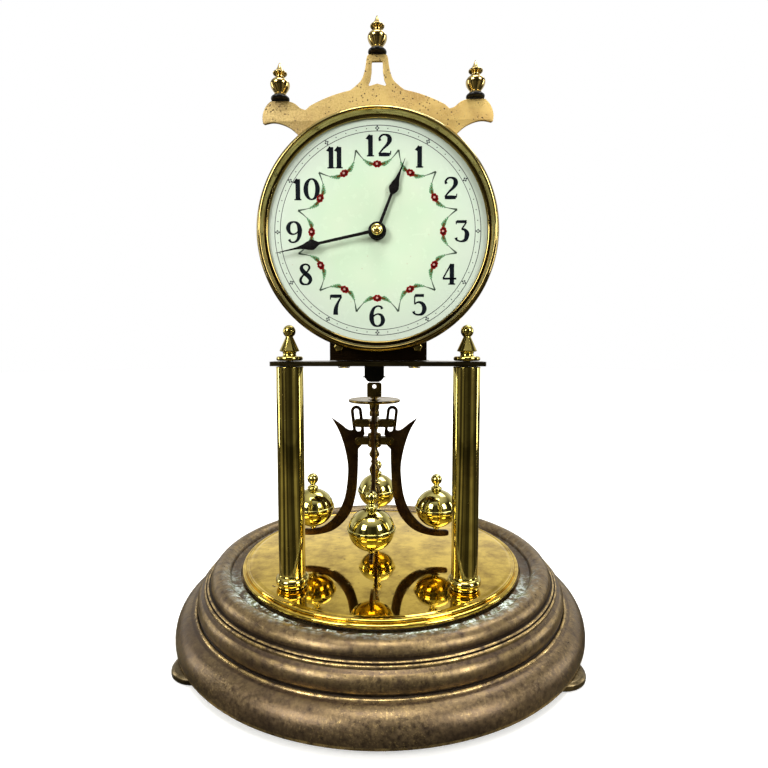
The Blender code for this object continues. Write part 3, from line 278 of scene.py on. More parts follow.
def cut(item, cutters):
    """Take the cutters out of an object and remove them."""
    for cutter in cutters:
        modifier = item.modifiers.new("Cut", "BOOLEAN")
        modifier.operation = "DIFFERENCE"
        modifier.solver = "EXACT"
        modifier.object = cutter
    bpy.context.view_layer.update()
    evaluated = item.evaluated_get(bpy.context.evaluated_depsgraph_get())
    mesh = bpy.data.meshes.new_from_object(evaluated)
    item.modifiers.clear()
    item.data = mesh
    mesh.set_sharp_from_angle(angle=SHARP_ANGLE)
    for cutter in cutters:
        bpy.data.objects.remove(cutter)
    return item


def rod(name, radius, bottom, top, finish, spot=(0, 0, 0), turn=None, steps=ROD_STEPS, bevel=0.15 * MM):
    """A cylinder with rounded ends."""
    ends = [(0, top), (radius, top), (radius, bottom), (0, bottom)]
    return lathe(name, rounded(ends, bevel), finish, spot, turn, steps)


def show(item, body, slot, *replaced):
    """Put a piece on its body and hide the CAD nodes that it stands for. The slot is not used."""
    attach(item, body)
    if replaced:
        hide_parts(*replaced)
    return item


# ---- Materials


class Tree:
    """A short way to write shader nodes. Sizes of noise and cells are in millimetres."""

    def __init__(self, tree, coordinates):
        self.tree = tree
        self.place = self.add("TexCoord").outputs[coordinates]

    def add(self, kind, **settings):
        node = self.tree.nodes.new("ShaderNode" + kind)
        for name, value in settings.items():
            setattr(node, name, value)
        return node

    def link(self, source, socket):
        self.tree.links.new(source, socket)

    def feed(self, socket, value):
        """Give a socket a number, a colour or another node's output."""
        if isinstance(value, (int, float)):
            socket.default_value = value
        elif isinstance(value, tuple):
            socket.default_value = (*value, 1.0)
        else:
            self.link(value, socket)

    def stretched(self, scale, shift=(0, 0, 0)):
        node = self.add("Mapping")
        node.inputs["Scale"].default_value = scale
        node.inputs["Location"].default_value = shift
        self.link(self.place, node.inputs["Vector"])
        return node.outputs["Vector"]

    def noise(self, size, detail=4.0, rough=0.55, vector=None):
        """Cloudy noise whose features are about `size` across."""
        node = self.add("TexNoise")
        node.inputs["Scale"].default_value = 1.0 / (size * MM)
        node.inputs["Detail"].default_value = detail
        node.inputs["Roughness"].default_value = rough
        self.link(vector or self.place, node.inputs["Vector"])
        return node.outputs["Fac"]

    def cells(self, size):
        node = self.add("TexVoronoi")
        node.inputs["Scale"].default_value = 1.0 / (size * MM)
        self.link(self.place, node.inputs["Vector"])
        return node.outputs["Distance"]

    def spread(self, value, start, end, low=0.0, high=1.0):
        """Map start..end to low..high, held at both ends."""
        node = self.add("MapRange")
        limits = {"From Min": start, "From Max": end, "To Min": low, "To Max": high}
        for name, limit in limits.items():
            node.inputs[name].default_value = limit
        self.link(value, node.inputs["Value"])
        return node.outputs["Result"]

    def math(self, kind, a, b):
        node = self.add("Math", operation=kind)
        self.feed(node.inputs[0], a)
        self.feed(node.inputs[1], b)
        return node.outputs["Value"]

    def plus(self, a, b):
        return self.math("ADD", a, b)

    def times(self, a, b):
        return self.math("MULTIPLY", a, b)

    def mix(self, factor, a, b):
        """A colour between a and b."""
        node = self.add("Mix", data_type="RGBA")
        self.link(factor, node.inputs["Factor"])
        self.feed(node.inputs[6], a)
        self.feed(node.inputs[7], b)
        return node.outputs[2]

    def axis(self, name):
        node = self.add("SeparateXYZ")
        self.link(self.place, node.inputs["Vector"])
        return node.outputs[name]

    def length(self, vector):
        node = self.add("VectorMath", operation="LENGTH")
        self.link(vector, node.inputs[0])
        return node.outputs["Value"]

    def bands(self):
        """0 to 1 in soft bands around the upright axis, as from the windows and furniture of a room."""
        node = self.add("TexNoise", noise_dimensions="1D")
        node.inputs["Scale"].default_value = 1.9
        node.inputs["Detail"].default_value = 1.0
        self.link(self.math("ARCTAN2", self.axis("X"), self.axis("Y")), node.inputs["W"])
        return self.spread(node.outputs["Fac"], 0.46, 0.64)

    def by_camera(self, others, camera):
        """One shader for what the camera sees, and another for light and reflections."""
        choose = self.add("MixShader")
        self.link(self.add("LightPath").outputs["Is Camera Ray"], choose.inputs["Fac"])
        self.link(others, choose.inputs[1])
        self.link(camera, choose.inputs[2])
        return choose.outputs["Shader"]


class Nodes(Tree):
    """The nodes of a Principled material, whose textures use object coordinates."""

    def __init__(self, name, metallic, roughness):
        self.material = bpy.data.materials.new(name)
        self.material.use_nodes = True
        super().__init__(self.material.node_tree, "Object")
        self.shader = self.tree.nodes["Principled BSDF"]
        self.metallic(metallic)
        self.roughness(roughness)

    def colour(self, value):
        self.feed(self.shader.inputs["Base Color"], value)

    def roughness(self, value):
        self.feed(self.shader.inputs["Roughness"], value)

    def metallic(self, value):
        self.feed(self.shader.inputs["Metallic"], value)

    def specular(self, value):
        self.feed(self.shader.inputs["Specular IOR Level"], value)

    def edge(self):
        return self.add("Attribute", attribute_name="edge").outputs["Fac"]

    def bump(self, height, distance, strength):
        node = self.add("Bump")
        node.inputs["Distance"].default_value = distance * MM
        node.inputs["Strength"].default_value = strength
        self.link(height, node.inputs["Height"])
        self.link(node.outputs["Normal"], self.shader.inputs["Normal"])


GOLD = (0.83, 0.64, 0.20)
TARNISH = (0.26, 0.18, 0.045)
INK = (0.005, 0.007, 0.011)


def polished_brass(name, tarnish=0.35, roughness=0.10, gold=GOLD, foot=None):
    """Polished brass with faint clouds of tarnish, hairline marks and small dark specks.

    With `foot`, the colour at the dial's lower edge, the brass grows darker towards the bottom: painted
    shade."""
    n = Nodes(name, 1.0, roughness)
    if foot:
        # painted shade: the brass darkens towards the bottom, down to the `foot` colour
        gold = n.mix(n.spread(n.axis("Z"), CENTRE.z - 50 * MM, CENTRE.z + 56 * MM), foot, gold)
    clouds = n.spread(n.noise(9, 5.0, 0.6), 0.42, 0.74, 0.0, tarnish)
    tinted = n.mix(clouds, gold, TARNISH)
    streaks = n.noise(1.2, 3.0, 0.6, n.stretched((1, 1, 0.12)))
    specks = n.spread(n.cells(3.4), 0.10, 0.05)
    specks = n.times(specks, n.spread(n.noise(14), 0.50, 0.62))
    n.colour(n.mix(specks, tinted, (0.12, 0.07, 0.02)))
    rough = n.plus(n.spread(streaks, 0.3, 0.8, roughness * 0.7, roughness * 1.4),
                   n.times(clouds, 0.12))
    n.roughness(n.plus(rough, n.times(specks, 0.3)))
    n.bump(n.plus(n.noise(5, 2.0), n.times(streaks, 0.15)), 0.02, 0.5)
    return n.material


def mirror_brass():
    """The pan: nearly a mirror, with blotches, fine marks and pinhole stains."""
    n = Nodes("mirror_brass", 1.0, 0.07)
    blotches = n.noise(13, 6.0, 0.68)
    golden = n.mix(n.spread(blotches, 0.40, 0.66), (0.92, 0.65, 0.12), (0.42, 0.27, 0.040))
    stains = n.times(n.spread(n.cells(5), 0.14, 0.06), n.spread(n.noise(22), 0.46, 0.6))
    n.colour(n.mix(stains, golden, (0.10, 0.055, 0.015)))
    fine = n.noise(0.7, 3.0, 0.7)
    rough = n.plus(n.spread(blotches, 0.40, 0.70, 0.025, 0.09), n.spread(fine, 0.35, 0.8, 0.0, 0.03))
    n.roughness(n.plus(rough, n.times(stains, 0.35)))
    n.bump(n.plus(n.noise(12, 2.0), n.times(fine, 0.04)), 0.05, 0.35)
    return n.material


def aged_bronze():
    """Spun brass gone brown: mottled patina, gold on the raised edges that is wear from rubbing and also a
    painted highlight, painted shade in the grooves, verdigris by the pan.
    """
    n = Nodes("aged_bronze", 0.80, 0.45)
    patches = n.noise(26, 6.0, 0.62)
    grain = n.noise(1.6, 5.0, 0.7)
    brown = n.mix(n.spread(patches, 0.36, 0.66), (0.098, 0.063, 0.038), (0.205, 0.143, 0.074))
    mottled = n.mix(n.spread(grain, 0.36, 0.66), (0.060, 0.040, 0.027), brown)
    # gold on the raised edges: rubbing wear, and also a painted highlight along the rolls
    rubbed_and_highlit = n.times(n.spread(n.edge(), 0.05, 0.55), n.spread(n.noise(4, 5.0, 0.7), 0.36, 0.62))
    flecks = n.times(n.spread(n.noise(0.9, 4.0, 0.7), 0.55, 0.72), n.spread(patches, 0.42, 0.62))
    shine = n.math("MINIMUM", n.plus(rubbed_and_highlit, n.times(flecks, 0.55)), 1.0)
    worn = n.mix(shine, mottled, (0.62, 0.44, 0.18))
    # painted shade: the grooves are darkened
    hollow = n.spread(n.edge(), -0.08, -0.6)
    shaded_in_grooves = n.mix(n.times(hollow, 0.85), worn, (0.022, 0.015, 0.010))
    ledge = ledge_mask(n)
    speckle = n.spread(n.noise(1.9, 5.0, 0.7), 0.44, 0.58)
    green = n.mix(speckle, (0.15, 0.17, 0.08), (0.80, 0.93, 0.93))
    n.colour(n.mix(ledge, shaded_in_grooves, green))
    rough = n.math("SUBTRACT", n.spread(grain, 0.3, 0.75, 0.27, 0.52), n.times(shine, 0.14))
    n.roughness(n.math("MINIMUM", n.plus(rough, n.times(ledge, 0.5)), 0.95))
    n.metallic(n.spread(ledge, 0.0, 1.0, 0.80, 0.05))
    scratches = n.noise(0.8, 3.0, 0.6, n.stretched((0.25, 1.6, 1.0)))
    height = n.plus(grain, n.times(scratches, 0.3))
    n.bump(n.plus(height, n.times(ledge, 0.8)), 0.09, 0.6)
    return n.material


def ledge_mask(n):
    """1 in patches on the ledge between the pan and the first roll."""
    radius = n.length(n.stretched((1, 1, 0)))
    inner = n.spread(radius, 65.0 * MM, 66.5 * MM)
    outer = n.spread(radius, 77.0 * MM, 71.5 * MM)
    patches = n.spread(n.noise(5, 6.0, 0.72), 0.45, 0.54)
    height = n.spread(n.axis("Z"), 24.8 * MM, 25.6 * MM)
    patches = n.times(n.times(patches, height), n.spread(n.axis("Y"), -12 * MM, -46 * MM, 0.06, 1.0))
    return n.times(n.times(inner, outer), patches)


def dark_brass(name, brown=(0.155, 0.088, 0.030), golden=(0.42, 0.27, 0.10)):
    """Oxidised brass: brown, with lighter worn places."""
    n = Nodes(name, 0.95, 0.34)
    clouds = n.noise(7, 6.0, 0.65)
    fine = n.noise(0.8, 4.0, 0.65)
    n.colour(n.mix(n.spread(clouds, 0.40, 0.68), brown, golden))
    n.roughness(n.spread(fine, 0.3, 0.75, 0.24, 0.46))
    n.bump(fine, 0.02, 0.5)
    return n.material


def pitted_gold():
    """The crown: matte gold with painted light, darker to the left and paler to the right, speckled with
    dark pits that cluster in places.
    """
    n = Nodes("pitted_gold", 0.45, 0.45)
    fine = n.noise(0.7, 5.0, 0.7)
    clouds = n.noise(12, 4.0, 0.6)
    # painted light: the gold runs from darker on the left to paler on the right
    across = n.spread(n.axis("X"), -42 * MM, 42 * MM)
    gold = n.mix(across, (0.27, 0.190, 0.058), (0.78, 0.55, 0.170))
    dull = n.mix(across, (0.19, 0.115, 0.034), (0.48, 0.29, 0.075))
    mottled = n.mix(n.spread(fine, 0.40, 0.80), n.mix(n.spread(clouds, 0.42, 0.66), gold, dull),
                    (0.62, 0.45, 0.18))
    cluster = n.spread(n.noise(9, 4.0), 0.40, 0.54)
    pits = n.times(n.spread(n.cells(1.5), 0.26, 0.14), cluster)
    dots = n.times(n.spread(n.cells(0.7), 0.24, 0.12), n.spread(n.noise(5), 0.47, 0.55))
    pits = n.math("MAXIMUM", pits, n.times(dots, 0.8))
    n.colour(n.mix(pits, mottled, (0.085, 0.050, 0.022)))
    n.roughness(n.plus(n.spread(fine, 0.3, 0.7, 0.40, 0.55), n.times(pits, 0.3)))
    n.bump(n.math("SUBTRACT", n.times(fine, 0.25), pits), 0.06, 0.7)
    return n.material


def brushed_brass(name, gold=(0.62, 0.46, 0.18), direction=(0.08, 1, 1.6)):
    """Brushed movement brass with fine straight graining."""
    n = Nodes(name, 1.0, 0.3)
    grain = n.noise(0.5, 3.0, 0.6, n.stretched(direction))
    clouds = n.noise(11, 4.0)
    n.colour(n.mix(n.spread(clouds, 0.4, 0.7), gold, tuple(value * 0.6 for value in gold)))
    n.roughness(n.spread(grain, 0.3, 0.75, 0.22, 0.40))
    n.bump(grain, 0.015, 0.6)
    return n.material


def steel(name, colour=(0.47, 0.47, 0.49), roughness=0.28):
    n = Nodes(name, 1.0, roughness)
    grain = n.noise(0.5, 3.0, 0.6, n.stretched((1, 1, 0.2)))
    clouds = n.noise(8, 4.0)
    darker = tuple(value * 0.62 for value in colour)
    n.colour(n.mix(n.spread(clouds, 0.45, 0.75), colour, darker))
    n.roughness(n.spread(grain, 0.3, 0.75, roughness * 0.8, roughness * 1.4))
    n.bump(grain, 0.012, 0.5)
    return n.material


def cast_iron():
    n = Nodes("cast_iron", 0.6, 0.7)
    grain = n.noise(1.4, 5.0, 0.7)
    n.colour(n.mix(n.spread(grain, 0.35, 0.7), (0.045, 0.042, 0.040), (0.12, 0.09, 0.07)))
    n.roughness(n.spread(grain, 0.3, 0.7, 0.55, 0.85))
    n.bump(grain, 0.2, 0.7)
    return n.material


def gloss_black(name, roughness=0.18):
    """Black paint or blackened steel with a slight unevenness in its gloss."""
    n = Nodes(name, 0.0, roughness)
    fine = n.noise(1.5, 4.0)
    n.colour(n.mix(fine, (0.003, 0.003, 0.004), (0.010, 0.009, 0.009)))
    n.specular(0.25)
    n.roughness(n.spread(fine, 0.3, 0.75, roughness * 0.8, roughness * 1.7))
    n.bump(fine, 0.01, 0.4)
    return n.material


def dial_paint():
    """Cream paint, pale green towards the middle, faintly clouded, and less green and darker towards the
    rim, where the darkening is painted shade from the bezel.
    """
    n = Nodes("dial_paint", 0.0, 0.22)
    radius = n.length(n.stretched((1, 0, 1), (-CENTRE.x, 0, -CENTRE.z)))
    inner = n.mix(n.spread(n.noise(20, 2.0), 0.35, 0.7), (0.62, 0.80, 0.60), (0.68, 0.81, 0.63))
    # towards the rim: a less green paint, darkened with painted shade from the bezel
    paint_and_rim_shade = n.mix(n.spread(radius, 20 * MM, 46 * MM), inner, (0.64, 0.73, 0.66))
    specks = n.times(n.spread(n.cells(6), 0.06, 0.03), 0.5)
    n.colour(n.mix(specks, paint_and_rim_shade, (0.55, 0.50, 0.36)))
    n.specular(0.3)
    n.roughness(n.spread(n.noise(3, 3.0), 0.3, 0.7, 0.18, 0.30))
    n.bump(n.noise(2.5, 3.0), 0.01, 0.4)
    return n.material


def paint(name, colour, other, roughness=0.35):
    """Printed ink: two near colours in a fine grain."""
    n = Nodes(name, 0.0, roughness)
    n.colour(n.mix(n.noise(0.6, 3.0), colour, other))
    n.specular(0.05)
    n.roughness(n.spread(n.noise(0.9), 0.3, 0.7, roughness * 0.8, roughness * 1.2))
    return n.material


# ---- Base, pillars and platform


def base_profile():
    """Ledge, upper roll, two fine beads, a swelling band, a groove with a bead, and the lower roll."""
    outer = mm([(66.8, 26.2), (68.6, 26.0), (70.3, 26.1)])
    outer += mm(arc(75.4, 25.3, 4.6, 4.6, 165, -6, 26))
    outer += mm([(80.2, 24.3)] + arc(81.0, 24.0, 0.6, 0.6, 155, 0, 8))
    outer += mm([(81.6, 23.6)] + arc(82.2, 23.3, 0.55, 0.55, 140, -10, 8))
    outer += mm([(82.8, 22.6)] + arc(82.5, 17.9, 3.3, 4.4, 72, -34, 20))
    outer += mm([(84.9, 15.2), (84.8, 14.8), (85.3, 14.5)] + arc(86.3, 14.4, 0.65, 0.65, 150, 35, 8))
    outer += mm([(87.0, 14.35)] + arc(87.2, 5.2, 7.8, 9.1, 86, -7.5, 40))
    outer += [(94.2 * MM, RIM_BOTTOM)]
    inner = [(93.4, 4.0), (91.0, 10.6), (84.2, 14.2), (84.0, 17.6), (79.4, 23.6), (75.6, 27.6),
             (71.4, 23.6)]
    inner += [(56.5, 23.4), (56.5, 24.6), (66.8, 24.6)]
    return outer + rounded(mm(inner), 1.0 * MM)


def disc_profile():
    """The flat pan, a fine quirk and two bright beads at its rim."""
    face = [(0.0, 30.0), (61.2, 30.0), (61.8, 29.95), (62.2, 29.75), (62.6, 29.7)]
    face += arc(63.5, 29.1, 0.8, 0.8, 135, -25, 10)
    face += arc(65.25, 27.95, 1.0, 1.0, 130, -65, 12)
    return mm(face + [(65.4, 27.0), (64.0, 27.0), (63.7, 28.8), (0.0, 28.8)])


def base_parts():
    """The moulded ring, the pan with the bolts' holes, and the three feet."""
    item = lathe("base_moulding_skin", base_profile(), aged_bronze(), steps=160, closed=True, waver=0.0006)
    show(item, "frame", "aged_bronze", "base_moulding")
    disc = lathe("base_pan", disc_profile(), mirror_brass(), steps=144)
    holes = []
    for place in PILLARS.values():
        holes.append(rod("pan_hole", 1.9 * MM, DISC_BOTTOM - MM, DISC_TOP + MM, disc.data.materials[0],
                         (place.x, place.y, 0)))
    show(cut(disc, holes), "frame", "mirror_brass", "base_disc")
    foot_brass = dark_brass("foot_brass", (0.09, 0.068, 0.038), (0.22, 0.165, 0.080))
    for node, body in (("levelling_foot_left", "foot_left"), ("levelling_foot_right", "foot_right")):
        spot = middle(node)
        show(levelling_foot(node + "_piece", spot, foot_brass), body, "foot_brass", node)
    rear = [(0, 7.8), (1.6, 7.8), (1.6, 6.1), (6.4, 6.1), (7.5, 3.0), (7.5, 1.0), (6.6, 0.0), (0, 0)]
    spot = middle("rear_foot")
    item = lathe("rear_foot_piece", mm(rounded(rear, 0.5)), foot_brass, (spot.x, spot.y, 0))
    show(item, "frame", "foot_brass", "rear_foot")


def levelling_foot(name, spot, finish):
    """A knurled disc on a short screw whose thread shows as fine grooves."""
    profile = [(0, 10.2), (1.3, 10.2)]
    for turn in range(9):
        height = 9.9 - turn * 0.66
        profile += [(1.6, height), (1.38, height - 0.33)]
    disc = [(1.7, 3.6), (9.8, 3.6), (11.0, 2.7), (11.0, 0.9), (9.9, 0.0), (0, 0)]
    profile += [(1.6, 3.6)] + rounded(disc, 0.4)[1:]
    item = lathe(name, mm(profile), finish, (spot.x, spot.y, 0), steps=120)
    knurl(item, spot, 10.4 * MM, 60, 0.16 * MM)
    return item


def knurl(item, spot, start, count, depth):
    """Fine ribs on the part of a turned piece that lies beyond the radius `start`."""
    for vertex in item.data.vertices:
        x, y = vertex.co.x - spot.x, vertex.co.y - spot.y
        radius = math.hypot(x, y)
        if radius > start:
            pull = depth * (0.5 + 0.5 * math.cos(count * math.atan2(y, x)))
            vertex.co.x -= x / radius * pull
            vertex.co.y -= y / radius * pull


def pillar_parts():
    """Two tubes with moulded feet, and the nuts on the rods above the platform."""
    brass = polished_brass("pillar_brass", 0.75, 0.06, (0.60, 0.50, 0.14))
    top = high("pillar_left").z
    bottom = low("pillar_left").z
    foot = [(5.57, 5.3), (5.75, 5.0), (5.75, 4.6)] + arc(5.1, 2.55, 1.95, 2.0, 72, -70, 16)
    foot += [(6.1, 0.5), (6.15, 0.2), (6.0, 0.0), (4.57, 0.0)]
    profile = [(4.57 * MM, top), (5.35 * MM, top), (5.57 * MM, top - 0.25 * MM)]
    profile += [(radius * MM, bottom + height * MM) for radius, height in foot]
    profile = rounded(profile, 0.12 * MM, 3, True)
    cap = [(0, 140.0)] + arc(0, 137.4, 2.6, 2.6, 84, -52, 16)
    cap += [(1.5, 135.2), (1.6, 134.9), (3.9, 129.9), (4.05, 129.55), (3.95, 129.3), (2.95, 129.0)]
    cap += smooth([(2.75, 128.7), (2.65, 128.2), (2.75, 127.6), (3.0, 127.3)], 3)
    cap += [(4.4, 127.2)] + arc(4.7, 126.3, 0.75, 0.9, 80, -80, 8) + [(4.6, 125.4), (0, 125.4)]
    for side, place in PILLARS.items():
        spot = (place.x, place.y, 0)
        tube = lathe("pillar_tube_" + side, profile, brass, spot, steps=72, closed=True)
        show(tube, "frame", "polished_brass", "pillar_" + side)
        nut = lathe("pillar_nut_" + side, mm(cap), brass, spot)
        show(nut, "frame", "polished_brass", "pillar_finial_" + side)


# ---- Dial, hands and crown


def add_prism(bm, outline, back, front):
    """A flat solid from an outline of (x, y) points."""
    rear = [bm.verts.new((x, y, back)) for x, y in outline]
    face = [bm.verts.new((x, y, front)) for x, y in outline]
    bm.faces.new(face)
    bm.faces.new(rear[::-1])
    for i in range(len(outline)):
        j = (i + 1) % len(outline)
        bm.faces.new((rear[i], rear[j], face[j], face[i]))


def add_strip(bm, path, back, front, closed=False):
    """A flat solid along a path of (x, y, half width) points."""
    rows = []
    total = len(path)
    for i, (x, y, half) in enumerate(path):
        before = path[i - 1] if closed or i else path[i]
        after = path[(i + 1) % total] if closed or i < total - 1 else path[i]
        along = Vector((after[0] - before[0], after[1] - before[1])).normalized()
        side = Vector((-along.y, along.x)) * half
        row = []
        for sign, height in ((1, front), (-1, front), (-1, back), (1, back)):
            row.append(bm.verts.new((x + side.x * sign, y + side.y * sign, height)))
        rows.append(row)
    pairs = list(zip(rows, rows[1:]))
    if closed:
        pairs.append((rows[-1], rows[0]))
    else:
        bm.faces.new(rows[0])
        bm.faces.new(rows[-1][::-1])
    for a, b in pairs:
        for k in range(4):
            bm.faces.new((a[k], b[k], b[(k + 1) % 4], a[(k + 1) % 4]))


INK_THICK = 0.03


def printed(name, finish, outlines=(), paths=(), loops=(), lift=0.0):
    """One printed layer on the dial, a hair proud of the paint. In millimetres."""
    bm = bmesh.new()
    back = -DIAL_FRONT
    front = back + (INK_THICK + lift) * MM
    for outline in outlines:
        add_prism(bm, mm(outline), back, front)
    for path in paths:
        add_strip(bm, mm(path), back, front)
    for loop in loops:
        add_strip(bm, mm(loop), back, front, True)
    show(new_object(name, bm, finish, DIAL_SPOT, UPRIGHT), "frame", "dial_enamel")


def clock_point(radius, angle):
    """The point at an angle clockwise from the 12."""
    return radius * math.sin(angle), radius * math.cos(angle)


# Each numeral is a list of strokes of (x, y, half width), in hundredths of its height
DIGITS = {
    "1": [[(0, 3, 8.5), (0, 97, 8.5)], [(-3, 98.5, 3), (-13, 86, 3), (-17, 78, 5.5)],
          [(-17, 2, 1.8), (17, 2, 1.8)]],
    "2": [[(-20, 70, 5), (-23, 82, 3.5), (-13, 95, 3), (2, 98, 2.8), (19, 91, 6),
           (24, 74, 8.5), (15, 55, 5.5), (-8, 32, 3), (-26, 10, 2.5)],
          [(-27, 7, 5.5), (0, 7.5, 6.8), (25, 7, 5.5)], [(27, 6, 1.8), (30, 24, 1.2)]],
    "3": [[(-22, 94.5, 5), (24, 94.5, 5)], [(-25, 98, 1.2), (-25, 82, 1.2)],
          [(23, 92, 2.2), (2, 60, 2.2)],
          [(0, 59, 2.2), (16, 56, 4.5), (26, 38, 8.5), (20, 12, 6.5), (0, 2.5, 2.8),
           (-20, 8, 3), (-26, 20, 5.5)]],
    "4": [[(6, 97, 2.2), (-31, 30, 2.2)], [(-33, 27.5, 3), (31, 27.5, 3)],
          [(10, 97, 8), (10, 3, 8)], [(-6, 2, 1.8), (26, 2, 1.8)]],
    "5": [[(-19, 94.5, 5), (24, 94.5, 5)], [(-20, 95, 1.8), (-21, 52, 1.8)],
          [(-21, 53, 2), (-3, 63, 3), (17, 55, 6), (26, 33, 8.5), (18, 10, 6),
           (-2, 2.5, 2.7), (-21, 8, 3), (-26, 19, 5.5)]],
    "6": [[(23, 84, 5), (16, 95, 3), (0, 97.5, 2.6), (-17, 87, 4.5), (-27, 62, 7.5),
           (-28, 36, 8.5), (-19, 11, 5.5), (0, 2, 2.6), (19, 10, 5.5), (27, 31, 8),
           (19, 53, 5), (2, 60, 2.4), (-15, 53, 2.4), (-24, 40, 2)]],
    "7": [[(-24, 92.5, 5.5), (0, 92, 6), (27, 93, 5)], [(-26.5, 98.5, 1.2), (-26.5, 76, 1.2)],
          [(27, 91, 2.5), (10, 62, 4), (0, 33, 7.5), (-2, 3, 9)]],
    "9": [[(-23, 16, 5), (-16, 5, 3), (0, 2.5, 2.6), (17, 13, 4.5), (27, 38, 7.5),
           (28, 64, 8.5), (19, 89, 5.5), (0, 98, 2.6), (-19, 90, 5.5), (-27, 69, 8),
           (-19, 47, 5), (-2, 40, 2.4), (15, 47, 2.4), (24, 60, 2)]],
}
NUMERAL_HEIGHT = 8.3
NUMERAL_RADIUS = 33.1
UNIT = NUMERAL_HEIGHT / 100
DIGIT_STEP = 58
NARROW_STEP = 38
BOLD = 1.18
HAIRLINE = 1.0


def nought():
    """A round 0 with thick sides."""
    loop = []
    for i in range(40):
        angle = math.tau * i / 40
        half = 2.4 + 6.2 * abs(math.cos(angle)) ** 1.6
        loop.append((28 * math.cos(angle), 50 + 47.5 * math.sin(angle), half))
    return loop


def eight():
    """Two loops that share a thick diagonal."""
    turns = [(19, 80, 3.5), (14, 93, 3), (0, 97.8, 2.4), (-15, 91, 4.5), (-19, 77, 7)]
    turns += [(-6, 59, 8.5), (15, 41, 8.5), (24, 23, 6.5), (15, 6, 4), (0, 2.2, 2.6)]
    turns += [(-17, 7, 4.5), (-24, 24, 4.5), (-13, 43, 3), (6, 60, 2.4)]
    return turns


def digit_curves(digit):
    """The curves of a digit, and whether they close."""
    if digit == "0":
        return [nought()], True
    if digit == "8":
        return [smooth(eight(), 6, True)], True
    return [smooth(stroke, 6) if len(stroke) > 2 else stroke for stroke in DIGITS[digit]], False


def on_dial(hour, shift, curve):
    """A digit's curve at its place on the dial, in millimetres."""
    across, up = clock_point(NUMERAL_RADIUS, math.radians(30 * hour))
    points = []
    for x, y, half in curve:
        points.append((across + (x + shift) * UNIT, up + (y - 50) * UNIT, (half * BOLD + HAIRLINE) * UNIT))
    return points


def numerals():
    paths = []
    loops = []
    for hour in range(1, 13):
        text = str(hour)
        step = NARROW_STEP if text == "11" else DIGIT_STEP
        for i, digit in enumerate(text):
            shift = (i - (len(text) - 1) / 2) * step
            if text in ("10", "12"):
                shift += 5 if i else -3
            curves, closed = digit_curves(digit)
            for curve in curves:
                (loops if closed else paths).append(on_dial(hour, shift, curve))
    ink = paint("numeral_ink", INK, (0.009, 0.011, 0.016))
    printed("dial_numerals", ink, paths=paths, loops=loops, lift=0.01)


def ring_path(radius, half, count=144):
    return [(x, y, half) for x, y in circle(0, 0, radius, count)]


def minute_track():
    """Two thin circles with a dot for each minute and a four-petal mark every five."""
    outer = 40.7
    inner = 38.5
    dots = []
    for minute in range(60):
        angle = math.radians(6 * minute)
        x, y = clock_point((outer + inner) / 2, angle)
        if minute % 5:
            dots.append(circle(x, y, 0.22, 10))
            continue
        for petal in range(4):
            dx, dy = clock_point(0.5 if petal % 2 else 0.62, angle + petal * math.pi / 2)
            dots.append(circle(x + dx, y + dy, 0.34, 10))
    finish = paint("track_ink", (0.035, 0.042, 0.048), (0.06, 0.068, 0.075))
    printed("dial_minute_track", finish, dots, loops=[ring_path(outer, 0.13), ring_path(inner, 0.12)])


ROSE_RADIUS = 26.0
CUSP_RADIUS = 32.4


def on_garland(hour, share):
    """A point on the garland under an hour: share runs from -1 to 1, 0 is the rose."""
    radius = ROSE_RADIUS + (CUSP_RADIUS - ROSE_RADIUS) * abs(share) ** 3.2
    return clock_point(radius, math.radians(30 * hour + 15 * share))


def vine(hour, side):
    """Half of a garland's stem, from beside the rose to the cusp, thicker at its end."""
    line = []
    for i in range(22):
        share = 0.12 + 0.88 * i / 21
        line.append((*on_garland(hour, side * share), 0.14 + max(0.0, share - 0.8)))
    return line


def leaf(hour, share, lean, length, width):
    """A pointed leaf that starts on the garland and leans away from it."""
    x, y = on_garland(hour, share)
    ahead = on_garland(hour, share + 0.02)
    along = math.atan2(ahead[1] - y, ahead[0] - x) + lean
    if share < 0:
        along += math.pi - 2 * lean
    points = []
    for far, side in ((0, 0), (0.35, 1), (0.7, 0.8), (1, 0), (0.7, -0.8), (0.35, -1)):
        dx, dy = far * length, side * width
        points.append((x + dx * math.cos(along) - dy * math.sin(along),
                       y + dx * math.sin(along) + dy * math.cos(along)))
    return points


def rose(hour):
    """Seven petals around a round middle."""
    x, y = on_garland(hour, 0.0)
    turn = math.radians(30 * hour)
    petals = []
    for petal in range(7):
        along = 1.15 * math.sin(math.tau * petal / 7)
        out = 0.78 * math.cos(math.tau * petal / 7)
        petals.append(circle(x + along * math.cos(turn) + out * math.sin(turn),
                             y - along * math.sin(turn) + out * math.cos(turn), 0.66, 14))
    return petals + [circle(x, y, 0.9, 18)]


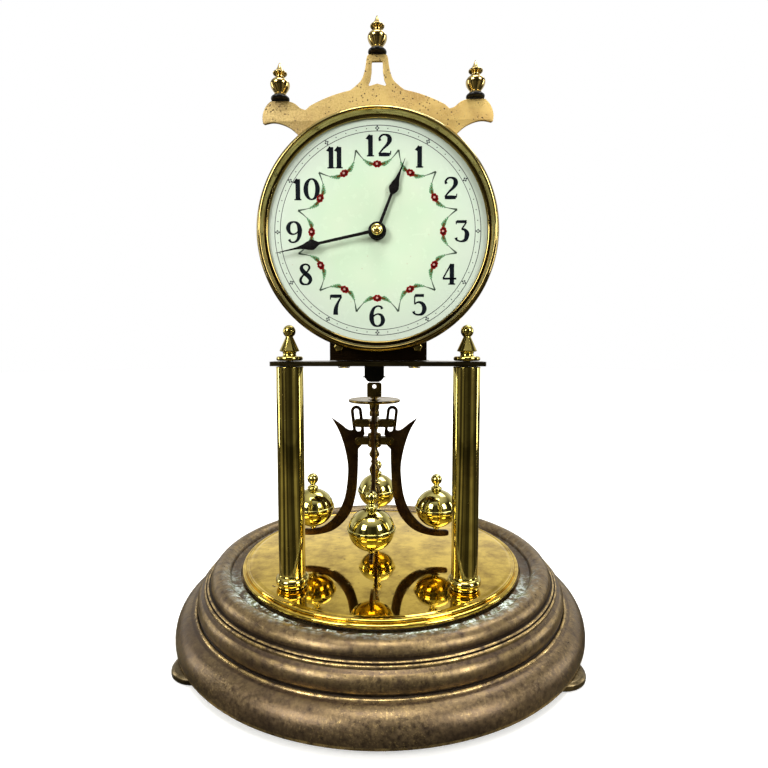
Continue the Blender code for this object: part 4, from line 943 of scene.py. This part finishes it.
def garlands():
    """Twelve roses with leaf sprays, joined by thin vines that meet in cusps between the hours."""
    vines = []
    leaves = []
    buds = []
    petals = []
    hearts = []
    for hour in range(12):
        for side in (-1, 1):
            vines.append(vine(hour, side))
            for i in range(9):
                share = side * (0.25 + 0.052 * i)
                lean = (0.55 if i % 2 else -0.55) * (1 - 0.3 * i / 8)
                leaves.append(leaf(hour, share, lean, 1.75 - 0.10 * i, 0.46 - 0.028 * i))
            for share, radius, count in ((0.30, 0.60, 10), (0.41, 0.42, 8), (0.56, 0.26, 8)):
                buds.append(circle(*on_garland(hour, side * share), radius, count))
        petals += rose(hour)
        x, y = on_garland(hour, 0.0)
        hearts.append(circle(x - 0.15, y + 0.1, 0.46, 14))
    printed("dial_vines", paint("vine_ink", (0.05, 0.085, 0.065), (0.09, 0.12, 0.085)), paths=vines)
    layers = (
        ("leaves", "leaf_ink", (0.085, 0.24, 0.115), (0.18, 0.40, 0.20), leaves),
        ("buds", "bud_ink", (0.15, 0.050, 0.015), (0.085, 0.10, 0.03), buds),
        ("roses", "rose_ink", (0.20, 0.006, 0.008), (0.36, 0.018, 0.018), petals),
        ("rose_hearts", "heart_ink", (0.78, 0.40, 0.34), (0.66, 0.24, 0.22), hearts),
    )
    for level, (name, ink, colour, other, outlines) in enumerate(layers, 1):
        printed("dial_" + name, paint(ink, colour, other), outlines, lift=0.006 * level)


def dial_parts():
    """The enamelled plate, everything printed on it, and the bezel."""
    front = -DIAL_FRONT / MM
    back = front - 0.6
    face = mm([(2.9, front), (44.6, front), (44.6, back), (2.9, back)])
    profile = rounded(face, 0.12 * MM, 4, True)
    item = lathe("dial_plate", profile, dial_paint(), DIAL_SPOT, UPRIGHT, 144, True)
    show(item, "frame", "dial_enamel", "dial")
    numerals()
    minute_track()
    garlands()
    bezel_ring(front + 0.3)


def bezel_ring(lip):
    """The bezel: a stepped inner lip just before the dial, a rounded front and a straight side."""
    front = -low("bezel").y / MM
    back = -high("bezel").y / MM
    rim = [(43.1, lip), (43.1, lip + 0.6), (43.5, lip + 1.0), (43.85, lip + 1.1), (44.1, lip + 0.9)]
    rim += [(44.25, lip + 0.8), (44.6, lip + 1.5), (45.2, front - 0.7), (45.55, front - 0.12),
            (45.9, front)]
    rim += [(46.5, front - 0.25), (47.15, front - 1.0), (47.5, front - 2.0), (47.6, front - 3.2)]
    rim += [(47.5, back), (45.0, back), (45.0, lip)]
    profile = rounded(mm(rim), 0.22 * MM, 3, True)
    # the last colour is painted shade at the bezel's bottom
    bezel_brass = polished_brass("bezel_brass", 0.9, 0.08, (0.52, 0.42, 0.16), (0.12, 0.085, 0.026))
    item = lathe("bezel_ring", profile, bezel_brass, DIAL_SPOT, UPRIGHT, 160, True)
    show(item, "frame", "polished_brass", "bezel")


HOUR_TURN = math.radians(21.5)
MINUTE_TURN = math.radians(257.8)


def hand_outline(hub, belly_start, belly, wide, taper, tip):
    """A round hub, a straight shaft, a drop-shaped belly and a needle, pointing up. In millimetres."""
    half = 0.62
    side = arc(0, 0, hub, hub, -80, 78, 16)
    side += [(half, hub + 0.25), (half * 0.86, belly_start - 0.5)]
    drop = [(half * 0.9, belly_start), (wide * 0.72, belly - 0.9), (wide, belly + 0.3),
            (wide * 0.80, belly + 2.2)]
    side += smooth(drop + [(wide * 0.42, belly + 4.4), (half * 0.62, taper)], 6) + [(0.10, tip - 0.15)]
    return mm(side + [(0, tip)] + [(-x, y) for x, y in reversed(side)])


def hand_parts():
    black = gloss_black("hand_black")
    hour = hand_outline(3.6, 15.2, 17.2, 1.95, 24.6, 29.7)
    minute = hand_outline(3.3, 23.4, 25.6, 2.0, 32.6, 40.9)
    for name, outline, hole, y, turn, node in (
        ("hour_hand_blade", hour, 2.65 * MM, middle("hour_hand").y, HOUR_TURN, "hour_hand"),
        ("minute_hand_blade", minute, 1.65 * MM, middle("minute_hand").y, MINUTE_TURN, "minute_hand"),
    ):
        turned = UPRIGHT @ Matrix.Rotation(-turn, 4, "Z")
        spot = (CENTRE.x, y, CENTRE.z)
        item = plate(name, [outline, circle(0, 0, hole, 28)], 0.5 * MM, black, spot, turned, 0.08 * MM)
        show(item, node, "black_hands", node)
    front = -high("hand_nut").y
    nut = mm([(0, 1.72), (0.5, 1.66), (0.85, 1.46), (0.98, 1.2), (1.2, 1.1), (1.4, 1.24)])
    nut += smooth(mm([(1.55, 1.3), (1.9, 1.1), (2.15, 0.75), (2.2, 0.5)]),
                  3) + mm([(2.2, 0.1), (2.1, 0.0), (0, 0)])
    brass = polished_brass("nut_brass", 0.15, 0.08)
    item = lathe("hand_nut_dome", [(r, h + front) for r, h in nut], brass, DIAL_SPOT, UPRIGHT)
    show(item, "minute_hand", "polished_brass", "hand_nut")


def crown_outline():
    """From the spire's shoulder down the concave neck, along the arch, and round the horn."""
    side = mm([(3.2, 244.2), (3.9, 243.6)])
    side += smooth(mm([(4.2, 242.6), (4.6, 239.6), (5.3, 236.8), (6.4, 234.4), (8.6, 232.3),
                       (10.6, 230.8)]), 5)
    side += arc(0, CENTRE.z, 55.4 * MM, 55.4 * MM, 77.0, 61.5, 14)
    side += smooth(mm([(28.1, 223.6), (30.0, 224.2), (32.4, 226.1), (34.9, 227.0)]), 5)
    side += mm([(41.4, 227.1)])
    side += smooth(mm([(42.0, 226.9), (43.5, 225.4), (44.7, 223.2), (45.2, 220.8), (45.0, 218.7)]), 5)
    side += smooth(mm([(44.4, 218.3), (41.0, 218.9), (37.6, 218.3), (34.0, 216.6), (30.6, 213.7)]), 5)
    side += mm([(20.0, 199.4)])
    return side + [(-x, z) for x, z in reversed(side)]


def crown_window():
    """The tall opening under the spire: square head, legs that spread, and a curved foot."""
    side = mm([(1.9, 241.5), (2.15, 241.1), (2.2, 237.6), (2.7, 234.6), (3.5, 232.9), (3.1, 232.3)])
    foot = [(0.0, 233.2 * MM)]
    return side + foot + [(-x, z) for x, z in reversed(side)]


def crown_parts():
    """The pierced crown and its three finials, each a spear on a black collar."""
    gold = pitted_gold()
    y = middle("crown_plate").y
    outlines = [crown_outline(), crown_window()]
    item = plate("crown_face", outlines, 1.2 * MM, gold, (0, y, 0), UPRIGHT, 0.2 * MM)
    show(item, "frame", "crown_brass", "crown_plate")
    brass = polished_brass("finial_brass", 0.70, 0.10, (0.62, 0.47, 0.19))
    black = gloss_black("collar_black", 0.3)
    spear = [(0, 14.2), (0.35, 14.0), (0.65, 13.3), (1.05, 12.3), (1.55, 11.4), (1.8, 11.05)]
    spear += arc(0, 10.15, 2.8, 0.95, 62, -62, 10) + [(1.5, 9.05), (1.45, 8.75), (1.7, 8.45)]
    spear += arc(0, 5.95, 3.8, 2.55, 62, 0, 12)
    spear += smooth([(3.78, 5.6), (3.5, 4.7), (2.9, 3.7), (2.3, 2.9)], 4)
    spear += [(2.05, 2.55), (2.1, 2.3), (2.55, 1.9), (2.6, 1.6), (2.3, 1.3), (0, 1.3)]
    collar = [(0, 1.24), (2.6, 1.24), (3.4, 1.1), (3.62, 0.8), (3.62, 0.4), (3.4, 0), (0, 0)]
    for name in ("centre", "left", "right"):
        node = "crown_finial_" + name
        place = middle(node)
        spot = (place.x, place.y, low(node).z)
        show(lathe(node + "_spear", mm(spear), brass, spot), "frame", "polished_brass", node)
        ring = rounded(mm(collar), 0.1 * MM, 3)
        show(lathe(node + "_collar", ring, black, spot), "frame", "black_steel")


# ---- Pendulum


def pendulum_turn(angle):
    """Upright plates whose local x points away from the pendulum's axis at this angle."""
    return Matrix.Rotation(angle, 4, "Z") @ UPRIGHT


def around(angle, radius, offset, z):
    """A point at a radius and a sideways offset from the pendulum's axis."""
    x = AXIS.x + radius * math.cos(angle) - offset * math.sin(angle)
    return (x, AXIS.y + radius * math.sin(angle) + offset * math.cos(angle), z)


ARM_THICK = 1.6 * MM
CHEEK_THICK = 0.8 * MM
CHEEK_OFFSET = ARM_THICK / 2 + 0.3 * MM + CHEEK_THICK / 2
PIVOT_Z = 85.6 * MM
PIVOT_REACH = 7.4 * MM
SLIDER_REACH = 8.1 * MM
LOOP_LEAN = math.radians(6.6)
QUARTERS = (("right", 0.0), ("back", math.pi / 2), ("left", math.pi), ("front", math.pi * 1.5))


def cheek_pairs(name, reach, pin_reach, z, finish):
    """Four forks of two rounded cheeks, each with its cross pin."""
    pieces = []
    half = 1.9 * MM
    for side, angle in QUARTERS:
        outline = [(1.8 * MM, -half), (reach - half, -half)]
        outline += arc(reach - half, 0, half, half, -75, 75, 9) + [(reach - half, half), (1.8 * MM, half)]
        turn = pendulum_turn(angle)
        for sign in (-1, 1):
            spot = around(angle, 0, sign * CHEEK_OFFSET, z)
            pieces.append(plate(name + side, [outline], CHEEK_THICK, finish, spot, turn, 0.12 * MM))
        length = CHEEK_OFFSET + CHEEK_THICK / 2 + 0.4 * MM
        spot = around(angle, pin_reach, 0, z)
        pieces.append(rod(name + "_pin", 0.7 * MM, -length, length, finish, spot, turn))
    return pieces


def spindle_profile():
    """Hook stem, waist, pivot collar and a run of turned balusters."""
    top = [(0, 107.6), (1.9, 107.5), (2.2, 107.2), (2.2, 106.7), (1.9, 106.4), (1.3, 106.3), (1.3, 89.6)]
    top += [(1.5, 89.4), (2.9, 89.2), (3.3, 88.8), (3.3, 87.6), (3.0, 87.3), (3.0, 84.4), (3.3, 84.1)]
    top += [(3.3, 83.0)]
    turned = [(2.8, 82.5), (1.7, 82.0), (1.5, 81.4), (1.9, 80.4), (2.5, 79.2), (2.4, 78.2), (1.5, 77.0)]
    turned += [(1.35, 76.0), (1.8, 75.4), (1.8, 74.9), (1.4, 74.6), (1.7, 73.4), (2.5, 71.8), (2.3, 70.2)]
    turned += [(1.5, 67.6), (1.35, 66.4), (1.9, 65.9), (1.9, 65.3), (1.4, 64.9), (1.7, 63.4), (2.6, 60.4)]
    turned += [(2.3, 58.0), (1.4, 55.6), (1.3, 54.6), (1.9, 54.0), (1.9, 53.4), (1.2, 52.7), (0.6, 52.1)]
    return mm(top) + smooth(mm(turned + [(0, 52.0)]), 4)


def regulator_parts(finish):
    """The spindle with its pivots, the rating disc and the slider."""
    eye = [(-3.5, 107.0), (3.5, 107.0), (3.5, 113.3), (2.9, 113.9), (-2.9, 113.9), (-3.5, 113.3)]
    pieces = [lathe("spindle_turning", spindle_profile(), finish, AXIS_SPOT)]
    ring = [rounded(mm(eye), 0.4 * MM, 3, True), circle(0, 112.0 * MM, 1.0 * MM, 20)]
    pieces.append(plate("spindle_eye", ring, 2.2 * MM, finish, AXIS_SPOT, UPRIGHT, 0.3 * MM))
    pieces += cheek_pairs("pivot_cheek", 9.4 * MM, PIVOT_REACH, PIVOT_Z, finish)
    show(combine("pendulum_spindle_turned", pieces), "pendulum", "polished_brass", "pendulum_spindle")

    rim = [(1.6, 0.7), (2.9, 0.7), (3.3, 0.5), (11.6, 0.5), (12.1, 0.7), (12.5, 0.35), (12.5, -0.35)]
    rim += [(12.1, -0.7), (2.9, -0.7)]
    hub = [(2.4, 103.9), (2.4, 101.2), (2.1, 100.9), (2.1, 100.2), (2.4, 99.9), (2.4, 97.6), (1.6, 97.6)]
    profile = [(radius * MM, RATING_DISC_Z + height * MM) for radius, height in rim]
    profile = rounded(profile + mm(hub), 0.15 * MM, 3, True)
    disc = lathe("rating_disc_turned", profile, finish, AXIS_SPOT, steps=120, closed=True)
    knurl(disc, AXIS, 12.0 * MM, 60, 0.12 * MM)
    show(disc, "rating_disc", "dark_brass", "rating_disc")

    collar = rounded(mm([(1.6, 1.9), (3.4, 1.9), (3.4, -1.9), (1.6, -1.9)]), 0.3 * MM, 4, True)
    pieces = [lathe("slider_ring", collar, finish, (AXIS.x, AXIS.y, SLIDER_Z), closed=True)]
    pieces += cheek_pairs("slider_cheek", 10.2 * MM, SLIDER_REACH, SLIDER_Z, finish)
    show(combine("slider_collar_turned", pieces), "slider", "dark_brass", "slider_collar")


def loop_point(across, height):
    """A point on the leaning slotted loop, from millimetres beside and above the slider's pin."""
    x = SLIDER_REACH + (across * math.cos(LOOP_LEAN) + height * math.sin(LOOP_LEAN)) * MM
    return (x, SLIDER_Z + (height * math.cos(LOOP_LEAN) - across * math.sin(LOOP_LEAN)) * MM)


def loop_arc(half, height, count):
    """The round head of the loop or of its slot."""
    return [loop_point(x, z) for x, z in arc(0, height, half, half, 180, 0, count)]


def arm_outlines():
    """One arm as (distance from the axis, height): loop on top, horned blade, curved foot."""
    inside = mm([(5.9, 83.6), (5.7, 87.4)]) + [loop_point(-2.7, -6.0)]
    crook = [loop_point(2.7, -3.0)] + mm([(11.6, 90.6), (13.6, 91.4), (16.6, 93.8), (20.6, 96.6)])
    blade = [(20.7, 96.5), (17.3, 90.4), (14.7, 82.8), (13.1, 74.5), (13.1, 67.6), (14.3, 58.6),
             (16.9, 51.6)]
    blade += [(21.2, 45.8), (26.0, 42.4), (31.0, 41.4), (35.6, 41.2), (36.5, 39.8), (35.4, 38.45)]
    blade += [(29.0, 38.4), (21.2, 40.4), (15.6, 44.6), (11.4, 50.8), (8.9, 60.4), (8.2, 70.0), (7.9, 81.4)]
    outline = inside + loop_arc(2.7, 5.8, 15) + smooth(crook, 5) + smooth(mm(blade), 5)
    foot = ((1.25, -3.4), (0.6, -4.2), (-0.6, -4.2), (-1.25, -3.4))
    slot = loop_arc(1.25, 5.8, 11) + [loop_point(x, z) for x, z in foot]
    return [outline, slot, circle(PIVOT_REACH, PIVOT_Z, 1.05 * MM, 20)]


def ball_profile(radius):
    """A flattened ball with a raised band, a collared neck and a small round finial. In millimetres."""
    upright = 0.89 * radius
    band = radius + 0.15
    neck = [(1.5, 11.9), (1.25, 11.5), (1.5, 11.0), (2.3, 10.5), (2.7, 10.1), (2.7, 9.7), (2.4, 9.4)]
    profile = [(0, 16.9)] + arc(0, 14.2, 2.7, 2.7, 82, -50, 14) + smooth(neck, 3)
    profile += arc(0, 0, radius - 0.3, upright, 76, 7, 18)
    profile += [(band - 0.15, 1.0), (band, 0.8), (band, 0.35), (band - 0.3, 0.2)]
    profile += [(band - 0.3, 0.0), (band, -0.15), (band, -0.5), (band - 0.15, -0.7)]
    profile += arc(0, 0, radius - 0.3, upright, -7, -78, 18)
    return mm(profile + [(1.9, -9.2), (1.9, -9.6), (1.4, -9.9), (1.3, -10.3), (0, -10.4)])


def arm_parts():
    """Four arms, each with its ball, on their own bodies."""
    # painted shade: the arms' brass is nearly black-brown, standing in for the dark surroundings it
    # reflects
    shaded_arm_brass = dark_brass("arm_brass", (0.040, 0.020, 0.010), (0.10, 0.058, 0.022))
    brass = polished_brass("ball_brass", 0.35, 0.07, (0.54, 0.475, 0.155))
    radius = (high("pendulum_ball_right").x - low("pendulum_ball_right").x) / 2 / MM - 0.15
    for side, angle in QUARTERS:
        node = "pendulum_arm_" + side
        item = plate(node + "_blade", arm_outlines(), ARM_THICK, shaded_arm_brass, AXIS_SPOT,
                     pendulum_turn(angle), 0.2 * MM)
        show(item, "arm_" + side, "dark_brass", node)
        node = "pendulum_ball_" + side
        place = middle(node)
        spot = (place.x, place.y, low(node).z + 10.4 * MM)
        item = lathe(node + "_turned", ball_profile(radius), brass, spot, steps=72)
        show(item, "arm_" + side, "polished_brass", node)


# ---- Movement and small fasteners


def keep(node, finish, bevel):
    """A CAD node that stays, with its own material and softened edges."""
    item = NODES[node]
    item.data.materials.clear()
    item.data.materials.append(finish)
    for polygon in item.data.polygons:
        polygon.material_index = 0
    if bevel:
        modifier = item.modifiers.new("Soft edges", "BEVEL")
        modifier.width = bevel
        modifier.segments = 2
        modifier.limit_method = "ANGLE"
        modifier.angle_limit = math.radians(50)
        modifier.use_clamp_overlap = True
        modifier.harden_normals = True


WHEELS = ("barrel", "barrel_cap", "centre_wheel", "third_wheel", "second_wheel", "escape_wheel",
          "minute_wheel", "hour_wheel")
STEEL_PARTS = ("centre_arbor", "third_pinion", "second_pinion", "escape_pinion", "barrel_arbor",
               "ratchet_wheel", "click", "anchor", "cannon_pinion", "pillar_bolt_left",
               "pillar_bolt_right", "foot_plate")


def movement_parts():
    """The inner movement stays as it is in the CAD, with materials and softened edges."""
    plates = brushed_brass("plate_brass", (0.050, 0.028, 0.011))
    wheels = brushed_brass("wheel_brass", (0.74, 0.54, 0.22), (1, 0.2, 1))
    arbors = steel("arbor_steel")
    blued = steel("blued_steel", (0.10, 0.14, 0.26), 0.25)
    platform = brushed_brass("platform_brass", (0.075, 0.058, 0.024), (0.08, 1, 1))
    keep("movement_platform", platform, 0.2 * MM)
    for node in ("front_plate", "back_plate", "suspension_bracket", "suspension_fork"):
        keep(node, plates, 0.15 * MM)
    for node in WHEELS:
        keep(node, wheels, 0.06 * MM)
    for node in STEEL_PARTS:
        keep(node, arbors, 0.06 * MM)
    for node in ("mainspring", "suspension_spring", "click_spring"):
        keep(node, blued, 0)
    keep("base_weight", cast_iron(), 0.4 * MM)
    bottom_block()
    top_block(plates)
    fasteners(arbors)


def bottom_block():
    """The black block that grips the spring, with a thin cross pin, over two side strips of the hook."""
    node = "suspension_bottom_block"
    black = gloss_black("block_black", 0.35)
    top = high(node).z / MM
    bottom = low(node).z / MM
    half = 4.7
    side = [(half, top), (half, bottom + 2.8), (half + 0.2, bottom + 2.5), (half - 0.1, bottom + 2.2)]
    side += [(half - 0.5, bottom + 1.5), (half - 1.4, bottom + 0.5), (half - 2.6, bottom)]
    outline = rounded(mm(side + [(-x, z) for x, z in reversed(side)]), 0.3 * MM, 3, True)
    block = plate("block_body", [outline], 3.0 * MM, black, AXIS_SPOT, UPRIGHT, 0.3 * MM)
    pin_profile = rounded(mm([(0, 5.5), (0.3, 5.5), (0.3, -5.5), (0, -5.5)]), 0.1 * MM, 3)
    across = Matrix.Rotation(math.radians(90), 4, "Y")
    pin = lathe("block_pin", pin_profile, black, (AXIS.x, AXIS.y, (bottom + 2.4) * MM), across, 16)
    show(combine("spring_block_lower", [block, pin]), "pendulum", "black_steel", node)


def top_block(finish):
    """The round block that grips the spring, with a plain round head above the bracket."""
    node = "suspension_top_block"
    place = middle(node)
    head = high(node).z / MM
    foot = low(node).z / MM
    outline = [(0, head), (2.4, head), (2.4, head - 1.5), (1.0, head - 1.5), (1.0, foot + 5.2),
               (2.4, foot + 5.2)]
    outline += [(2.4, foot), (0, foot)]
    profile = rounded(mm(outline), 0.2 * MM)
    item = lathe("top_block_turned", profile, finish, (place.x, place.y, 0))
    show(item, "frame", "plain_steel", node)


def slotted_screw(name, spot, turn, head, shank, length, finish):
    """A cheese-head screw whose head lies on local z = 0 and whose shank runs down."""
    profile = [(0, 0.55 * head), (head * 0.85, 0.55 * head), (head, 0.35 * head), (head, 0), (shank, 0)]
    profile += [(shank, -length), (0, -length)]
    item = lathe(name, rounded(profile, 0.08 * MM, 3), finish, steps=36)
    bm = bmesh.new()
    bmesh.ops.create_cube(bm, size=1.0, matrix=Matrix.Translation((0, 0, 0.55 * head))
                          @ Matrix.Diagonal((head * 2.4, 0.28 * head, 0.42 * head, 1)))
    item = cut(item, [new_object(name + "_slot", bm, finish)])
    item.data.transform(Matrix.Translation(Vector(spot)) @ turn)
    return item


def fasteners(finish):
    """Screws under the platform, nuts on the front plate, and screws on the bracket."""
    under = Matrix.Rotation(math.pi, 4, "X") @ Matrix.Rotation(0.5, 4, "Z")
    for x, name in ((-15.5 * MM, "left"), (15.5 * MM, "right")):
        spot = (x, -22.0 * MM, PLATFORM_BOTTOM - 0.02 * MM)
        item = slotted_screw("platform_screw_" + name, spot, under, 2.65 * MM, 1.1 * MM, 2.0 * MM, finish)
        show(item, "frame", "plain_steel")
    brass = polished_brass("nut_plate_brass", 0.5, 0.12, (0.60, 0.48, 0.16))
    for i, (x, z) in enumerate(((-16.3, 131.0), (16.3, 131.0), (-15.5, 201.5), (15.5, 201.5))):
        outline = circle(0, 0, 2.1 * MM, 6)
        item = plate("plate_nut_%d" % i, [outline], 2.0 * MM, brass,
                     (x * MM, FRONT_PLATE_FACE - 1.02 * MM, z * MM), UPRIGHT, 0.6 * MM)
        show(item, "frame", "plain_steel")
    back = Matrix.Rotation(math.radians(-90), 4, "X")
    for i, x in enumerate((-2.6, 2.6)):
        spot = (AXIS.x + x * MM, BRACKET_BACK, 207.4 * MM)
        item = slotted_screw("bracket_screw_%d" % i, spot, back, 1.3 * MM, 0.6 * MM, 1.0 * MM, finish)
        show(item, "frame", "plain_steel")


# ---- Floor, light and camera


FLOOR_GLOW = 0.38
SOFT_WHITE = (1.0, 0.99, 0.95)
AIM = (0, 0, 0.13)


def floor():
    """A pale floor that fades into the white background. Reflections see it dark, in bands."""
    bm = bmesh.new()
    bmesh.ops.create_circle(bm, cap_ends=True, radius=3.0, segments=96)
    n = Nodes("floor_paint", 0.0, 0.8)
    n.colour(n.mix(n.noise(400, 2.0), (0.88, 0.88, 0.87), (0.86, 0.86, 0.85)))
    n.shader.inputs["Emission Color"].default_value = (1, 1, 1, 1)
    n.link(n.spread(n.length(n.place), 0.14, 0.60, FLOOR_GLOW, 1.0), n.shader.inputs["Emission Strength"])
    shaded = n.add("BsdfDiffuse")
    n.link(n.mix(n.bands(), (0.022, 0.020, 0.013), (0.20, 0.18, 0.12)), shaded.inputs["Color"])
    surface = n.by_camera(shaded.outputs["BSDF"], n.shader.outputs["BSDF"])
    n.link(surface, n.tree.nodes["Material Output"].inputs["Surface"])
    new_object("floor", bm, n.material)


def lamp(name, place, width, height, power, colour=SOFT_WHITE, aim=AIM):
    data = bpy.data.lights.new(name, "AREA")
    data.shape = "RECTANGLE"
    data.size = width
    data.size_y = height
    data.energy = power
    data.color = colour
    item = bpy.data.objects.new(name, data)
    item.location = place
    item.rotation_euler = (Vector(aim) - Vector(place)).to_track_quat("-Z", "Y").to_euler()
    bpy.context.scene.collection.objects.link(item)


def studio():
    """A pale wall behind and a pale ceiling, with a dark room in front to give brass its contrast."""
    world = bpy.data.worlds.new("studio")
    bpy.context.scene.world = world
    world.use_nodes = True
    n = Tree(world.node_tree, "Generated")
    wall = n.times(n.spread(n.axis("Y"), 0.05, 0.50), n.spread(n.axis("Z"), 0.32, 0.52, 1.0, 0.50))
    pale = n.math("MAXIMUM", wall, n.spread(n.axis("Z"), 0.58, 0.92))
    front = n.mix(n.bands(), (0.036, 0.033, 0.022), (0.26, 0.24, 0.17))
    room = n.tree.nodes["Background"]
    n.link(n.mix(pale, front, (0.95, 0.94, 0.90)), room.inputs["Color"])
    plain = n.add("Background")
    plain.inputs["Color"].default_value = (1, 1, 1, 1)
    surface = n.by_camera(room.outputs["Background"], plain.outputs["Background"])
    n.link(surface, n.tree.nodes["World Output"].inputs["Surface"])
    lamp("key", (-0.62, -0.78, 0.62), 0.40, 0.50, 8.5)
    lamp("fill", (0.72, -0.66, 0.55), 0.30, 0.50, 6.5)
    lamp("strip_left", (-0.95, 0.10, 0.22), 0.10, 0.60, 2.0)
    lamp("strip_right", (0.95, 0.10, 0.22), 0.10, 0.60, 2.0)
    lamp("top", (0.0, -0.30, 1.05), 0.50, 0.30, 5.0, (1.0, 0.97, 0.90), (0, 0, 0.03))
    lamp("rim", (0.35, 0.42, 0.95), 0.50, 0.40, 4.0, (1.0, 1.0, 1.0))


def camera():
    """The camera that was fitted to the base's rim, the platform, the dial and the balls."""
    data = bpy.data.cameras.new("camera")
    data.lens = 24.07
    data.sensor_width = 36.0
    data.clip_start = 0.01
    item = bpy.data.objects.new("camera", data)
    item.location = (0.0079, -0.2478, 0.1308)
    item.rotation_euler = (math.radians(90) - 0.071, 0, 0.0255)
    bpy.context.scene.collection.objects.link(item)
    bpy.context.scene.camera = item


camera()
studio()
floor()
base_parts()
pillar_parts()
dial_parts()
hand_parts()
crown_parts()
regulator_parts(polished_brass("regulator_brass", 0.8, 0.2, (0.24, 0.17, 0.055)))
arm_parts()
movement_parts()
bpy.context.scene.view_settings.view_transform = "Standard"
